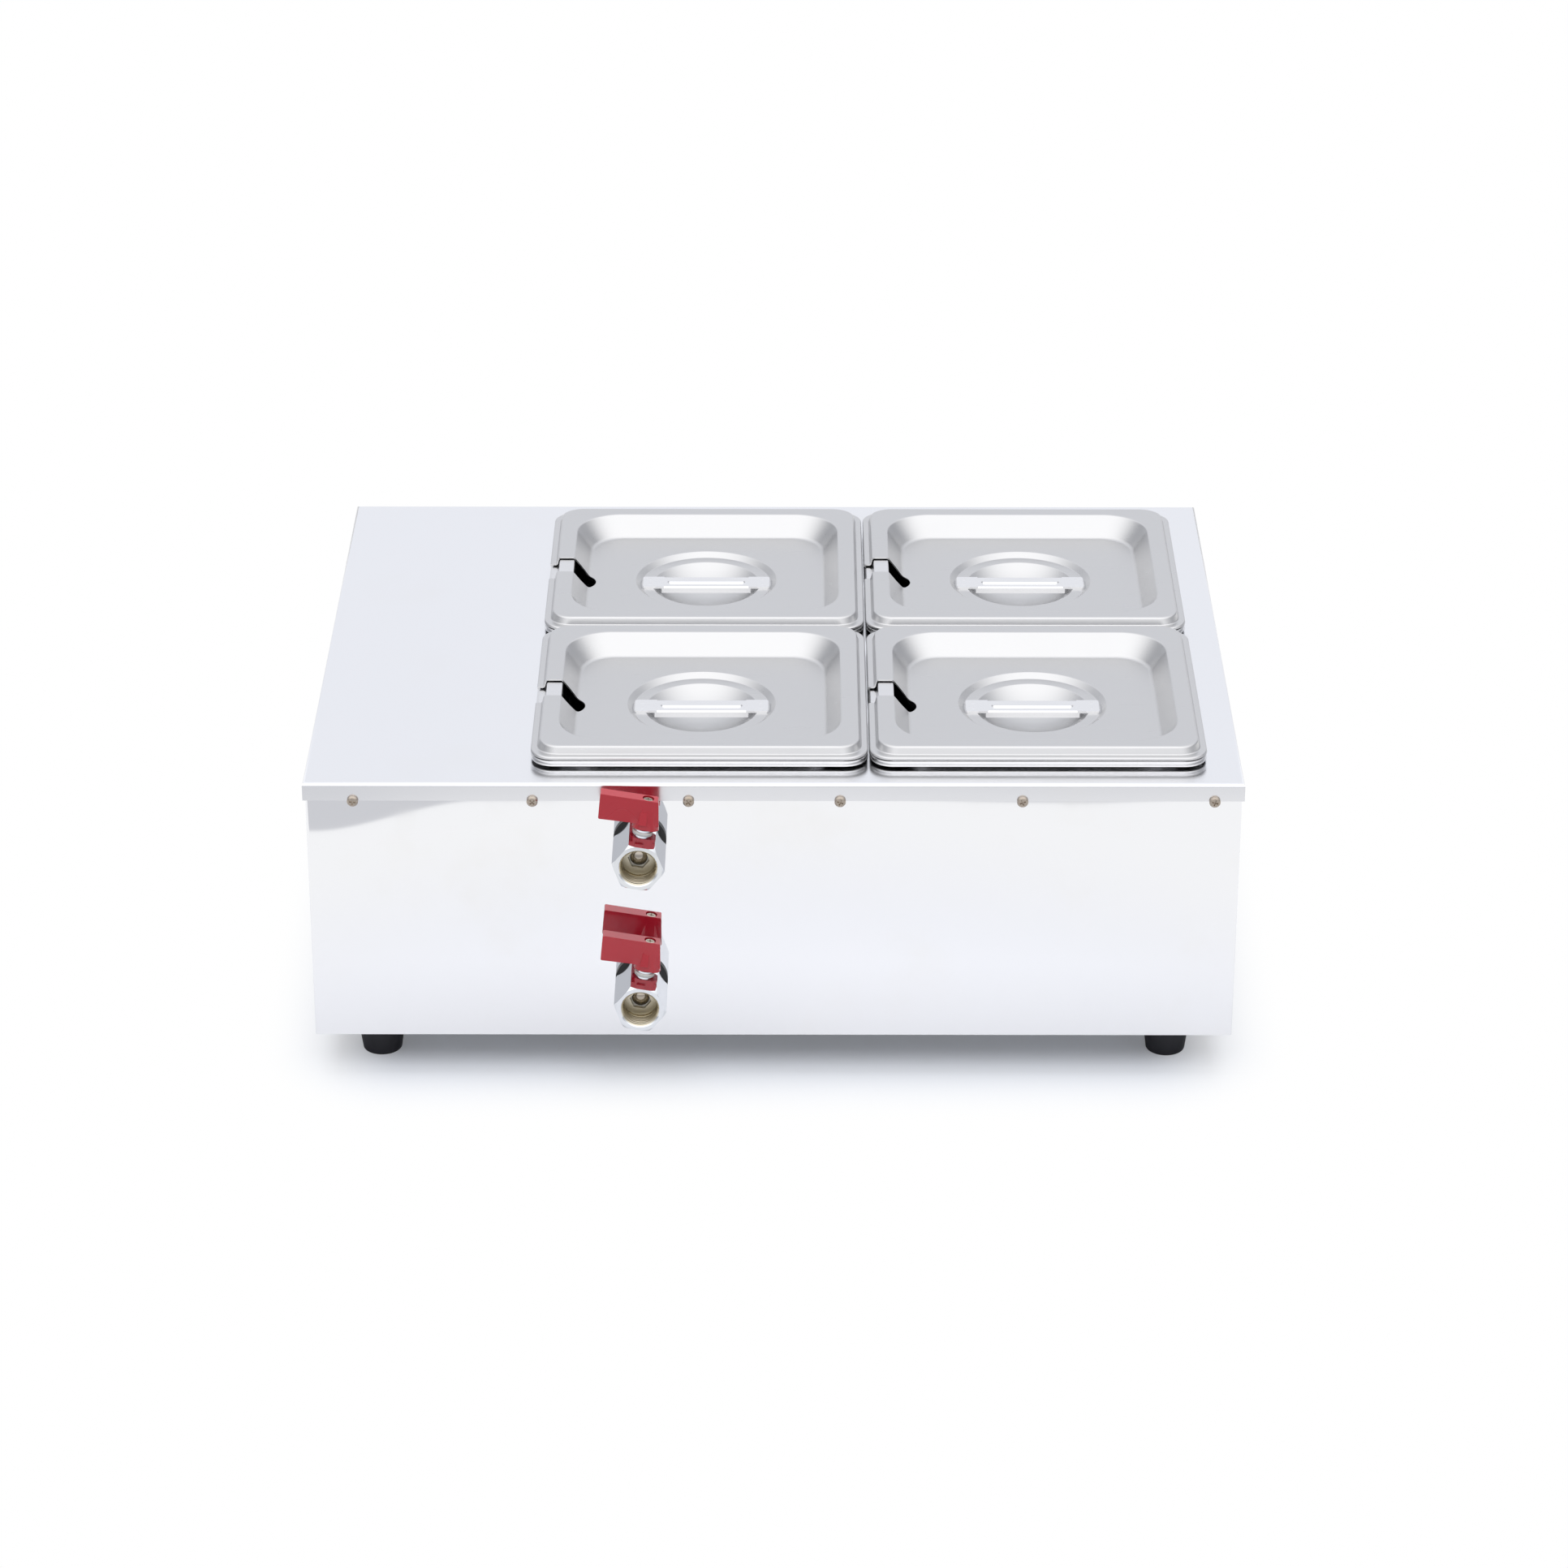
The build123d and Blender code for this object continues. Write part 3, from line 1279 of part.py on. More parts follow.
bowl_edge_r = well_d / 2 - well_run - well_ledge
bowl_r = (bowl_edge_r**2 + bowl_depth**2) / (2 * bowl_depth)
strap_bar_l = 2 * (bowl_edge_r - strap_bar_gap)
strap_rib_l = strap_bar_l - 2 * strap_rib_end
strap_turn = well_d / 2 - well_run - strap_end_gap - strap_corner_r
strap_side = strap_w / 2 - strap_corner_r
strap_l = 2 * (strap_corner_r + sqrt(strap_turn**2 - strap_side**2))
for place, centre in pan_places.items():
    # Pan: flat flange with its lip, bend, straight neck, stacking shoulder and drafted walls
    with BuildPart() as pan:
        add(pressing(pan_section, pan_wall, pan_rule, pan_bend_steps, centre))
    pan.part.label = f"pan_{place}"
    export_step(pan.part, f"parts/pan_{place}.step")

    # Lid: rim, bevelled rise, flat band, sunken middle, stepped well and bowl
    with BuildPart() as lid:
        add(pressing(lid_section, lid_sheet, lid_rule, lid_bend_steps, centre))
        add(lid_well(lid_sheet, centre))
        add(lid_well(0, centre), mode=Mode.SUBTRACT)
        slot_end = centre[0] - pan_w / 2 + ladle_slot_l - ladle_slot_w / 2
        with BuildSketch(level(lid_band_z)):
            with Locations((slot_end, centre[1] - ladle_slot_shift)):
                Circle(ladle_slot_w / 2)
                Rectangle(ladle_slot_l, ladle_slot_w, align=(Align.MAX, Align.CENTER))
        extrude(amount=-2 * recess_depth, mode=Mode.SUBTRACT)
    lid.part.label = f"lid_{place}"
    export_step(lid.part, f"parts/lid_{place}.step")

    # Strap: two flat tabs, and a bar stiffened by folded edges and a raised rib
    across_strap = Plane(origin=(*centre, ledge_z + strap_t), x_dir=(0, 1, 0), z_dir=(1, 0, 0))
    with BuildPart() as strap:
        with BuildSketch(level(ledge_z)):
            with Locations(centre):
                RectangleRounded(strap_l, strap_w, strap_corner_r)
                Rectangle(strap_bar_l - 2 * strap_t, strap_w, mode=Mode.SUBTRACT)
        extrude(amount=strap_t)
        with BuildSketch(across_strap) as folded:
            Rectangle(strap_w, strap_t + strap_fold, align=(Align.CENTER, Align.MAX))
            fillet(folded.vertices().group_by(Axis.Y)[-1], strap_t)
            with Locations((0, -strap_t)):
                Rectangle(
                    strap_w - 2 * strap_t,
                    strap_fold,
                    align=(Align.CENTER, Align.MAX),
                    mode=Mode.SUBTRACT,
                )
        extrude(amount=strap_bar_l / 2, both=True)
        with BuildSketch(level(ledge_z + strap_t)):
            with Locations(centre):
                SlotOverall(strap_rib_l, strap_rib_w)
        extrude(amount=strap_rib_h, taper=strap_rib_taper)
    strap.part.label = f"strap_{place}"
    export_step(strap.part, f"parts/strap_{place}.step")
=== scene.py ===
"""Looks of a counter-top chocolate melter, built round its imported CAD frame."""

import json
import logging
import math
from dataclasses import dataclass
from enum import Enum

import bmesh
import bpy
from mathutils import Matrix, Vector


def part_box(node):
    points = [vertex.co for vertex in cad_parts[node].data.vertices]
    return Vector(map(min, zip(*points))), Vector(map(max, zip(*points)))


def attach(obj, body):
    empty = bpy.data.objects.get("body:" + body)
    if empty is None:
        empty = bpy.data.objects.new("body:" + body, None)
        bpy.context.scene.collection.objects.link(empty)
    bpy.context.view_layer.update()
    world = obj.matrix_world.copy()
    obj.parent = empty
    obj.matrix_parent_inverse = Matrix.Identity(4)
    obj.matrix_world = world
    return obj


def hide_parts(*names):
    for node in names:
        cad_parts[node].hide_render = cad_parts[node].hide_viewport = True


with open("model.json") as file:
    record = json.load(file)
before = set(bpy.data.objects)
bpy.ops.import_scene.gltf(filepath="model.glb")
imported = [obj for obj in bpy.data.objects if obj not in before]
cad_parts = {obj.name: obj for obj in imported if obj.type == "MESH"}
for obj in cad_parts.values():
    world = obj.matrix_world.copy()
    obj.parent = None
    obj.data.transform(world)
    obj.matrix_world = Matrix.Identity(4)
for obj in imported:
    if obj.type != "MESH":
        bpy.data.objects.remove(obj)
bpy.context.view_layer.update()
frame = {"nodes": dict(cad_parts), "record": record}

MM = 0.001
LOG = logging.getLogger("melter")
NODES = frame["nodes"]
RECORD = frame["record"]
SLOT_OF = {part["node"]: part["material_slot"] for part in RECORD["subparts"]}
BODY_OF = {n: body for body, group in RECORD["behaviour"]["bodies"].items() for n in group}
PLACES = ("front_left", "front_right", "rear_left", "rear_right")
VALVES = ("upper", "lower")


class Grain(Enum):
    """Direction in which a sheet's polishing lines run."""

    ALONG_X = (0.04, 1.0, 1.0)
    ALONG_Z = (1.0, 1.0, 0.04)


# Shader building

# Range that most of a cloud pattern's values lie in
MID_TONE = (0.3, 0.7)


@dataclass
class Graph:
    """A node tree with short ways to add and join nodes."""

    tree: bpy.types.NodeTree

    def add(self, kind: str, **settings: object) -> bpy.types.Node:
        """Adds one node.

        Args:
            kind: The node's type without its ShaderNode prefix.
            settings: Attributes to set on it.

        Returns:
            The new node.
        """
        prefix = "" if kind.startswith("Node") else "ShaderNode"
        node = self.tree.nodes.new(prefix + kind)
        for name, value in settings.items():
            setattr(node, name, value)
        return node

    def feed(self, target: bpy.types.NodeSocket, source: object) -> None:
        """Joins a socket to a source socket, or sets it to a plain value.

        Args:
            target: The input to feed.
            source: An output socket, or the value itself.
        """
        if isinstance(source, bpy.types.NodeSocket):
            self.tree.links.new(source, target)
        else:
            target.default_value = source

    def position(self) -> bpy.types.NodeSocket:
        """Returns the object coordinates."""
        return self.add("TexCoord").outputs["Object"]

    def mapped(self, vector: object, scale: tuple) -> bpy.types.NodeSocket:
        """Stretches a vector.

        Args:
            vector: The vector's socket.
            scale: Factor on each axis.

        Returns:
            The stretched vector.
        """
        node = self.add("Mapping")
        self.feed(node.inputs["Vector"], vector)
        node.inputs["Scale"].default_value = scale
        return node.outputs["Vector"]

    def noise(
        self, vector: object, scale: object, detail: float = 3.0, rough: float = 0.5
    ) -> bpy.types.NodeSocket:
        """Makes a cloud pattern from 0 to 1.

        Args:
            vector: Where the pattern is read.
            scale: How fine the pattern is.
            detail: How many finer layers it has.
            rough: Share that each finer layer keeps.

        Returns:
            The pattern's value.
        """
        node = self.add("TexNoise")
        self.feed(node.inputs["Vector"], vector)
        self.feed(node.inputs["Scale"], scale)
        node.inputs["Detail"].default_value = detail
        node.inputs["Roughness"].default_value = rough
        return node.outputs["Fac"]

    def remap(
        self, value: object, source: tuple, target: tuple, smooth: bool = False
    ) -> bpy.types.NodeSocket:
        """Carries a value from one range to another and holds it at the ends.

        Args:
            value: The value's socket.
            source: Both ends of the range it comes from.
            target: Both ends of the range it goes to.
            smooth: Whether it eases in and out.

        Returns:
            The carried value.
        """
        node = self.add("MapRange", interpolation_type="SMOOTHSTEP" if smooth else "LINEAR")
        self.feed(node.inputs["Value"], value)
        for name, number in zip(("From Min", "From Max", "To Min", "To Max"), (*source, *target)):
            self.feed(node.inputs[name], number)
        return node.outputs["Result"]

    def calc(self, operation: str, first: object, second: object = 0.0) -> bpy.types.NodeSocket:
        """Works out one sum.

        Args:
            operation: The Math node's operation.
            first: The first value.
            second: The second value, which some operations leave out.

        Returns:
            The result.
        """
        node = self.add("Math", operation=operation)
        self.feed(node.inputs[0], first)
        self.feed(node.inputs[1], second)
        return node.outputs["Value"]

    def distance(self, across: object, along: object) -> bpy.types.NodeSocket:
        """Returns the length of a flat vector that has these two parts."""
        squares = [self.calc("MULTIPLY", part, part) for part in (across, along)]
        return self.calc("SQRT", self.calc("ADD", *squares))

    def past(self, place: object, half: float) -> bpy.types.NodeSocket:
        """Returns how far a place is beyond half a strip's width from the origin, or 0 within it."""
        beyond = self.calc("SUBTRACT", self.calc("ABSOLUTE", place), half)
        return self.calc("MAXIMUM", beyond, 0.0)

    def blend(self, share: object, first: object, second: object) -> bpy.types.NodeSocket:
        """Mixes two colours.

        Args:
            share: Share of the second colour.
            first: The colour at 0.
            second: The colour at 1.

        Returns:
            The mixed colour.
        """
        node = self.add("Mix", data_type="RGBA")
        for socket, source in zip((node.inputs[0], node.inputs[6], node.inputs[7]), (share, first, second)):
            plain = isinstance(source, tuple) and len(source) == 3
            self.feed(socket, (*source, 1.0) if plain else source)
        return node.outputs[2]

    def group(self, tree: bpy.types.NodeTree, **values: object) -> bpy.types.Node:
        """Places a node group and sets its named inputs.

        Args:
            tree: The group's tree.
            values: Input names in small letters with their values.

        Returns:
            The group's node.
        """
        node = self.add("Group", node_tree=tree)
        for name, value in values.items():
            self.feed(node.inputs[name.capitalize()], value)
        return node

    def bump(self, height: object, strength: float, distance: float) -> bpy.types.NodeSocket:
        """Raises the surface's normal by a pattern.

        Args:
            height: The pattern.
            strength: Share of the effect.
            distance: Height of the pattern's peaks in metres.

        Returns:
            The normal.
        """
        node = self.add("Bump")
        self.feed(node.inputs["Height"], height)
        node.inputs["Strength"].default_value = strength
        node.inputs["Distance"].default_value = distance
        return node.outputs["Normal"]


def new_group(name: str, inputs: dict, outputs: tuple) -> tuple:
    """Starts a shader node group.

    Args:
        name: The group's name.
        inputs: Input names with their defaults; a vector where the default is None.
        outputs: Output names, all plain values.

    Returns:
        The tree, its graph, its input node and its output node.
    """
    tree = bpy.data.node_groups.new(name, "ShaderNodeTree")
    for label, default in inputs.items():
        kind = "NodeSocketVector" if default is None else "NodeSocketFloat"
        socket = tree.interface.new_socket(label, in_out="INPUT", socket_type=kind)
        if default is not None:
            socket.default_value = default
    for label in outputs:
        tree.interface.new_socket(label, in_out="OUTPUT", socket_type="NodeSocketFloat")
    graph = Graph(tree)
    return tree, graph, graph.add("NodeGroupInput"), graph.add("NodeGroupOutput")


def make_smudge_group() -> bpy.types.NodeTree:
    """Builds the faint handling marks and wiping streaks that polished metal has.

    Returns:
        The group's tree, which puts out a mask.
    """
    inputs = {"Vector": None, "Scale": 9.0, "Amount": 0.5}
    tree, graph, start, end = new_group("smudges", inputs, ("Mask",))
    vector = start.outputs["Vector"]
    scale = start.outputs["Scale"]
    cloud = graph.noise(vector, scale, 4.0, 0.6)
    speck = graph.noise(vector, graph.calc("MULTIPLY", scale, 7.0), 2.0)
    patch = graph.remap(cloud, (0.52, 0.72), (0.0, 1.0), smooth=True)
    broken = graph.calc("MULTIPLY", patch, graph.remap(speck, (0.35, 0.65), (0.4, 1.0)))
    graph.feed(end.inputs["Mask"], graph.calc("MULTIPLY", broken, start.outputs["Amount"]))
    return tree


def make_grain_group() -> bpy.types.NodeTree:
    """Builds fine polishing lines; the vector arrives already stretched along the lines.

    Returns:
        The group's tree, which puts out a height and a tone.
    """
    inputs = {"Vector": None, "Scale": 900.0}
    tree, graph, start, end = new_group("polishing_lines", inputs, ("Height", "Tone"))
    vector = start.outputs["Vector"]
    scale = start.outputs["Scale"]
    lines = graph.noise(vector, scale, 2.0, 0.7)
    broad = graph.noise(vector, graph.calc("MULTIPLY", scale, 0.12), 2.0)
    shares = (graph.calc("MULTIPLY", lines, 0.6), graph.calc("MULTIPLY", broad, 0.4))
    graph.feed(end.inputs["Height"], lines)
    graph.feed(end.inputs["Tone"], graph.calc("ADD", *shares))
    return tree


def make_wave_group() -> bpy.types.NodeTree:
    """Builds the slow unevenness of folded sheet, which bends what it mirrors.

    Returns:
        The group's tree, which puts out a height.
    """
    tree, graph, start, end = new_group("sheet_waves", {"Vector": None, "Scale": 6.0}, ("Height",))
    slow = graph.noise(start.outputs["Vector"], start.outputs["Scale"], 0.0)
    graph.feed(end.inputs["Height"], slow)
    return tree


def make_skin_group() -> bpy.types.NodeTree:
    """Builds the fine skin of castings, mouldings and rubber.

    Returns:
        The group's tree, which puts out a height and a tone.
    """
    inputs = {"Vector": None, "Scale": 1500.0}
    tree, graph, start, end = new_group("moulded_skin", inputs, ("Height", "Tone"))
    vector = start.outputs["Vector"]
    scale = start.outputs["Scale"]
    graph.feed(end.inputs["Height"], graph.noise(vector, scale, 3.0, 0.6))
    slow = graph.noise(vector, graph.calc("MULTIPLY", scale, 0.03), 2.0)
    graph.feed(end.inputs["Tone"], slow)
    return tree


SMUDGES = make_smudge_group()
GRAIN = make_grain_group()
WAVES = make_wave_group()
SKIN = make_skin_group()


@dataclass(frozen=True)
class Finish:
    """A surface finish with the values that every kind of finish has."""

    name: str
    colour: tuple
    roughness: float = 0.4

    def start(self) -> tuple:
        """Makes the material with its shader.

        Returns:
            The material, its graph, and its Principled BSDF.
        """
        material = bpy.data.materials.new(self.name)
        material.use_nodes = True
        material.diffuse_color = (*self.colour, 1.0)
        graph = Graph(material.node_tree)
        shader = material.node_tree.nodes["Principled BSDF"]
        shader.inputs["Base Color"].default_value = (*self.colour, 1.0)
        shader.inputs["Roughness"].default_value = self.roughness
        return material, graph, shader

    def make(self) -> bpy.types.Material:
        """Returns the finished material."""
        return self.start()[0]

    def tinted(self, *tints: float) -> tuple:
        """Returns the colour times one factor, or times one for each part, with no part above 1."""
        factors = tints * 3 if len(tints) == 1 else tints
        return tuple(min(1.0, part * factor) for part, factor in zip(self.colour, factors))

    def rough_range(self, low: float, high: float) -> tuple:
        """Returns the roughness at the smooth end and at the dull end of a pattern."""
        return self.roughness * low, min(1.0, self.roughness * high)


@dataclass(frozen=True)
class MirrorSheet(Finish):
    """Mirror-polished stainless sheet with slow waves and faint smudges."""

    wave: float = 1.2 * MM
    wave_scale: float = 7.0
    smudge: float = 0.5
    smudge_scale: float = 11.0
    smudge_tint: tuple = (0.975, 0.965, 0.94)
    smudge_rough: float = 0.09

    def make(self) -> bpy.types.Material:
        """Makes the mirror finish.

        Returns:
            The finished material.
        """
        material, graph, shader = self.start()
        place = graph.position()
        smudged = graph.group(SMUDGES, vector=place, scale=self.smudge_scale, amount=self.smudge)
        marks = smudged.outputs["Mask"]
        warm = self.tinted(*self.smudge_tint)
        graph.feed(shader.inputs["Base Color"], graph.blend(marks, self.colour, warm))
        dull = self.roughness + self.smudge_rough
        graph.feed(shader.inputs["Roughness"], graph.remap(marks, (0.0, 1.0), (self.roughness, dull)))
        waves = graph.group(WAVES, vector=place, scale=self.wave_scale).outputs["Height"]
        graph.feed(shader.inputs["Normal"], graph.bump(waves, 1.0, self.wave))
        shader.inputs["Metallic"].default_value = 1.0
        return material


@dataclass(frozen=True)
class SatinSheet(Finish):
    """Satin stainless pressing with fine lines in one direction."""

    grain: Grain = Grain.ALONG_X
    line_scale: float = 1100.0
    line_height: float = 0.06 * MM
    depth: float = 0.12
    tone: float = 0.07
    anisotropy: float = 0.35
    spread: tuple = (0.85, 1.15)
    smudge: float = 0.6
    smudge_scale: float = 16.0
    smudge_rough: float = 0.07

    def make(self) -> bpy.types.Material:
        """Makes the satin finish.

        Returns:
            The finished material.
        """
        material, graph, shader = self.start()
        place = graph.position()
        lines = graph.group(GRAIN, vector=graph.mapped(place, self.grain.value), scale=self.line_scale)
        smudged = graph.group(SMUDGES, vector=place, scale=self.smudge_scale, amount=self.smudge)
        dark = self.tinted(1.0 - self.tone)
        light = self.tinted(1.0 + self.tone / 2)
        graph.feed(shader.inputs["Base Color"], graph.blend(lines.outputs["Tone"], dark, light))
        base = graph.remap(lines.outputs["Tone"], MID_TONE, self.rough_range(*self.spread))
        dull = graph.calc("MULTIPLY", smudged.outputs["Mask"], self.smudge_rough)
        graph.feed(shader.inputs["Roughness"], graph.calc("ADD", base, dull))
        graph.feed(shader.inputs["Normal"], graph.bump(lines.outputs["Height"], self.depth, self.line_height))
        shader.inputs["Metallic"].default_value = 1.0
        shader.inputs["Anisotropic"].default_value = self.anisotropy
        return material


@dataclass(frozen=True)
class TurnedMetal(Finish):
    """Machined or plated metal with a soft unevenness and fine tool marks."""

    mark_scale: float = 500.0
    mark_height: float = 0.08 * MM
    depth: float = 0.08
    spread: tuple = (0.8, 1.3)
    stain: tuple = (0.9, 0.85, 0.75)
    stain_scale: float = 60.0
    stain_amount: float = 0.8

    def make(self) -> bpy.types.Material:
        """Makes the machined finish.

        Returns:
            The finished material.
        """
        material, graph, shader = self.start()
        place = graph.position()
        skin = graph.group(SKIN, vector=place, scale=self.mark_scale)
        marks = graph.group(SMUDGES, vector=place, scale=self.stain_scale, amount=self.stain_amount)
        stained = self.tinted(*self.stain)
        graph.feed(shader.inputs["Base Color"], graph.blend(marks.outputs["Mask"], self.colour, stained))
        rough = graph.remap(skin.outputs["Tone"], MID_TONE, self.rough_range(*self.spread))
        graph.feed(shader.inputs["Roughness"], rough)
        graph.feed(shader.inputs["Normal"], graph.bump(skin.outputs["Height"], self.depth, self.mark_height))
        shader.inputs["Metallic"].default_value = 1.0
        return material


@dataclass(frozen=True)
class Moulded(Finish):
    """Moulded plastic, rubber or ceramic with a fine skin."""

    skin_scale: float = 1500.0
    skin_height: float = 0.1 * MM
    depth: float = 0.1
    spread: tuple = (0.85, 1.2)
    coat: float = 0.0
    coat_rough: float = 0.06
    shade: float = 0.12
    specular: float = 0.5

    def make(self) -> bpy.types.Material:
        """Makes the moulded finish.

        Returns:
            The finished material.
        """
        material, graph, shader = self.start()
        skin = graph.group(SKIN, vector=graph.position(), scale=self.skin_scale)
        deep = self.tinted(1.0 - self.shade)
        graph.feed(shader.inputs["Base Color"], graph.blend(skin.outputs["Tone"], deep, self.colour))
        rough = graph.remap(skin.outputs["Tone"], MID_TONE, self.rough_range(*self.spread))
        graph.feed(shader.inputs["Roughness"], rough)
        graph.feed(shader.inputs["Normal"], graph.bump(skin.outputs["Height"], self.depth, self.skin_height))
        shader.inputs["Specular IOR Level"].default_value = self.specular
        shader.inputs["Coat Weight"].default_value = self.coat
        shader.inputs["Coat Roughness"].default_value = self.coat_rough
        return material


@dataclass(frozen=True)
class LampLens(Finish):
    """Coloured clear plastic of a pilot lamp."""

    skin_scale: float = 700.0
    skin_height: float = 0.1 * MM
    depth: float = 0.15
    deep: float = 0.7
    clear: float = 0.55
    index: float = 1.49

    def make(self) -> bpy.types.Material:
        """Makes the lens plastic.

        Returns:
            The finished material.
        """
        material, graph, shader = self.start()
        skin = graph.group(SKIN, vector=graph.position(), scale=self.skin_scale)
        graph.feed(shader.inputs["Normal"], graph.bump(skin.outputs["Height"], self.depth, self.skin_height))
        deep = self.tinted(self.deep)
        graph.feed(shader.inputs["Base Color"], graph.blend(skin.outputs["Tone"], deep, self.colour))
        shader.inputs["Transmission Weight"].default_value = self.clear
        shader.inputs["IOR"].default_value = self.index
        return material


FINISHES = (
    MirrorSheet("polished_steel", (0.900, 0.905, 0.925), 0.035),
    SatinSheet("satin_steel", (0.66, 0.66, 0.665), 0.31, depth=0.05, tone=0.035, anisotropy=0.2),
    SatinSheet("strap_steel", (0.86, 0.86, 0.87), 0.14, depth=0.03, tone=0.03),
    SatinSheet("pan_steel", (0.80, 0.80, 0.81), 0.22, grain=Grain.ALONG_Z, depth=0.06),
    SatinSheet("tank_steel", (0.60, 0.60, 0.60), 0.32, grain=Grain.ALONG_Z),
    SatinSheet("zinc_sheet", (0.55, 0.57, 0.59), 0.42, line_scale=300.0),
    TurnedMetal("bright_screws", (0.46, 0.40, 0.34), 0.28),
    Moulded("black_rubber", (0.020, 0.020, 0.026), 0.45, specular=0.4),
    Moulded("washer_rubber", (0.012, 0.012, 0.012), 0.35),
    TurnedMetal("plated_brass", (0.74, 0.76, 0.79), 0.09, mark_scale=260.0, stain=(0.95, 0.95, 0.95)),
    TurnedMetal("bare_brass", (0.56, 0.52, 0.42), 0.30),
    # The chromed ball's colour is darkened to brown: painted shade for the ball, which sits deep inside the
    # hex bore
    TurnedMetal("chromed_ball", (0.42, 0.38, 0.33), 0.14, depth=0.02),
    TurnedMetal("valve_stem", (0.60, 0.58, 0.54), 0.25),
    Moulded("seat_white", (0.78, 0.77, 0.73), 0.45),
    Moulded("handle_red", (0.50, 0.008, 0.024), 0.25, coat=0.35, skin_scale=500.0, depth=0.03),
    TurnedMetal("heater_sheath", (0.36, 0.35, 0.34), 0.40),
    Moulded("thermostat_case", (0.05, 0.05, 0.05), 0.5),
    TurnedMetal("copper_bulb", (0.72, 0.40, 0.26), 0.28),
    TurnedMetal("spindle_steel", (0.60, 0.60, 0.60), 0.3),
    Moulded("knob_black", (0.022, 0.022, 0.024), 0.35, skin_scale=2200.0, depth=0.15),
    SatinSheet("dial_silver", (0.74, 0.74, 0.75), 0.35),
    Moulded("lamp_black", (0.02, 0.02, 0.02), 0.2),
    LampLens("lens_amber", (0.95, 0.36, 0.03), 0.12),
    LampLens("lens_green", (0.05, 0.62, 0.16), 0.12),
    Moulded("switch_black", (0.02, 0.02, 0.02), 0.38),
    Moulded("rocker_red", (0.50, 0.02, 0.02), 0.2, coat=0.4),
    Moulded("block_white", (0.74, 0.73, 0.69), 0.25, coat=0.5),
    Moulded("marking_white", (0.85, 0.85, 0.85), 0.5),
    Moulded("marking_black", (0.02, 0.02, 0.02), 0.5),
    TurnedMetal("bored_brass", (0.62, 0.57, 0.46), 0.22, mark_scale=800.0),
    MirrorSheet("deck_steel", (0.900, 0.905, 0.925), 0.20, wave=0.8 * MM, smudge=0.3),
)
MATERIALS = {finish.name: finish.make() for finish in FINISHES}


# Mesh building

# Degrees by which a smooth piece's edges may turn before they stay sharp
SHARP = 35.0
# Degrees by which an edge turns more than that where it is bevelled
BEVEL_PAST = 3.0
# The same limit for screws, the width of their bevels, and the degrees of the first screw's
# cross and from each cross to the next
HEAD_SHARP = 30.0
HEAD_EDGE = 0.10 * MM
CROSS_TURNS = (23, 47)
# Distance within which a CAD mesh's corners are one, and degrees within which its faces are
JOIN_WITHIN = 0.002 * MM
FLAT_WITHIN = 0.4


def linked(name: str, bm: bmesh.types.BMesh) -> bpy.types.Object:
    """Turns a bmesh into an object in the scene.

    Args:
        name: The name of the object and of its mesh.
        bm: The mesh to use, which is freed.

    Returns:
        The new object.
    """
    mesh = bpy.data.meshes.new(name)
    bm.to_mesh(mesh)
    bm.free()
    made = bpy.data.objects.new(name, mesh)
    bpy.context.scene.collection.objects.link(made)
    return made


def place_piece(
    name: str, bm: bmesh.types.BMesh, body: str, finish: str, sharp: float = SHARP
) -> bpy.types.Object:
    """Turns a bmesh into a smooth piece that rides on a body.

    Args:
        name: The piece's name.
        bm: The mesh to use, which is freed.
        body: The CAD body that carries the piece.
        finish: The name of the piece's finish.
        sharp: Edges that turn by more than this many degrees stay sharp.

    Returns:
        The new object.
    """
    for face in bm.faces:
        face.smooth = True
    piece = linked(name, bm)
    piece.data.set_sharp_from_angle(angle=math.radians(sharp))
    piece.data.materials.append(MATERIALS[finish])
    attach(piece, body)
    LOG.info("%s: %d faces on %s", name, len(piece.data.polygons), body)
    return piece


def node_piece(node: str, kind: str, bm: bmesh.types.BMesh, sharp: float = SHARP) -> bpy.types.Object:
    """Makes a piece with the body, slot and finish of a CAD node.

    Args:
        node: The CAD node's name.
        kind: What the piece is, which ends its name.
        bm: The mesh to use, which is freed.
        sharp: Edges that turn by more than this many degrees stay sharp.

    Returns:
        The new object.
    """
    slot = SLOT_OF[node]
    return place_piece(f"{node}_{kind}", bm, BODY_OF[node], slot, sharp)


def soften(piece: bpy.types.Object, width: float, angle: float) -> None:
    """Adds a narrow bevel on a piece's sharp edges, and normals that keep flats flat.

    Args:
        piece: The piece to soften.
        width: Width of the bevel; 0 leaves it out.
        angle: Edges that turn by more than this many degrees are bevelled.
    """
    if width:
        bevel = piece.modifiers.new("edge_break", "BEVEL")
        bevel.width = width
        bevel.segments = 2
        bevel.limit_method = "ANGLE"
        bevel.angle_limit = math.radians(angle)
        bevel.harden_normals = True
    flat = piece.modifiers.new("flat_flats", "WEIGHTED_NORMAL")
    flat.keep_sharp = True
    flat.weight = 90


def settle(piece: bpy.types.Object) -> None:
    """Applies a piece's modifiers to its mesh.

    Args:
        piece: The piece to settle.
    """
    bpy.context.view_layer.update()
    evaluated = piece.evaluated_get(bpy.context.evaluated_depsgraph_get())
    mesh = bpy.data.meshes.new_from_object(evaluated)
    mesh.name = piece.name
    piece.modifiers.clear()
    piece.data = mesh


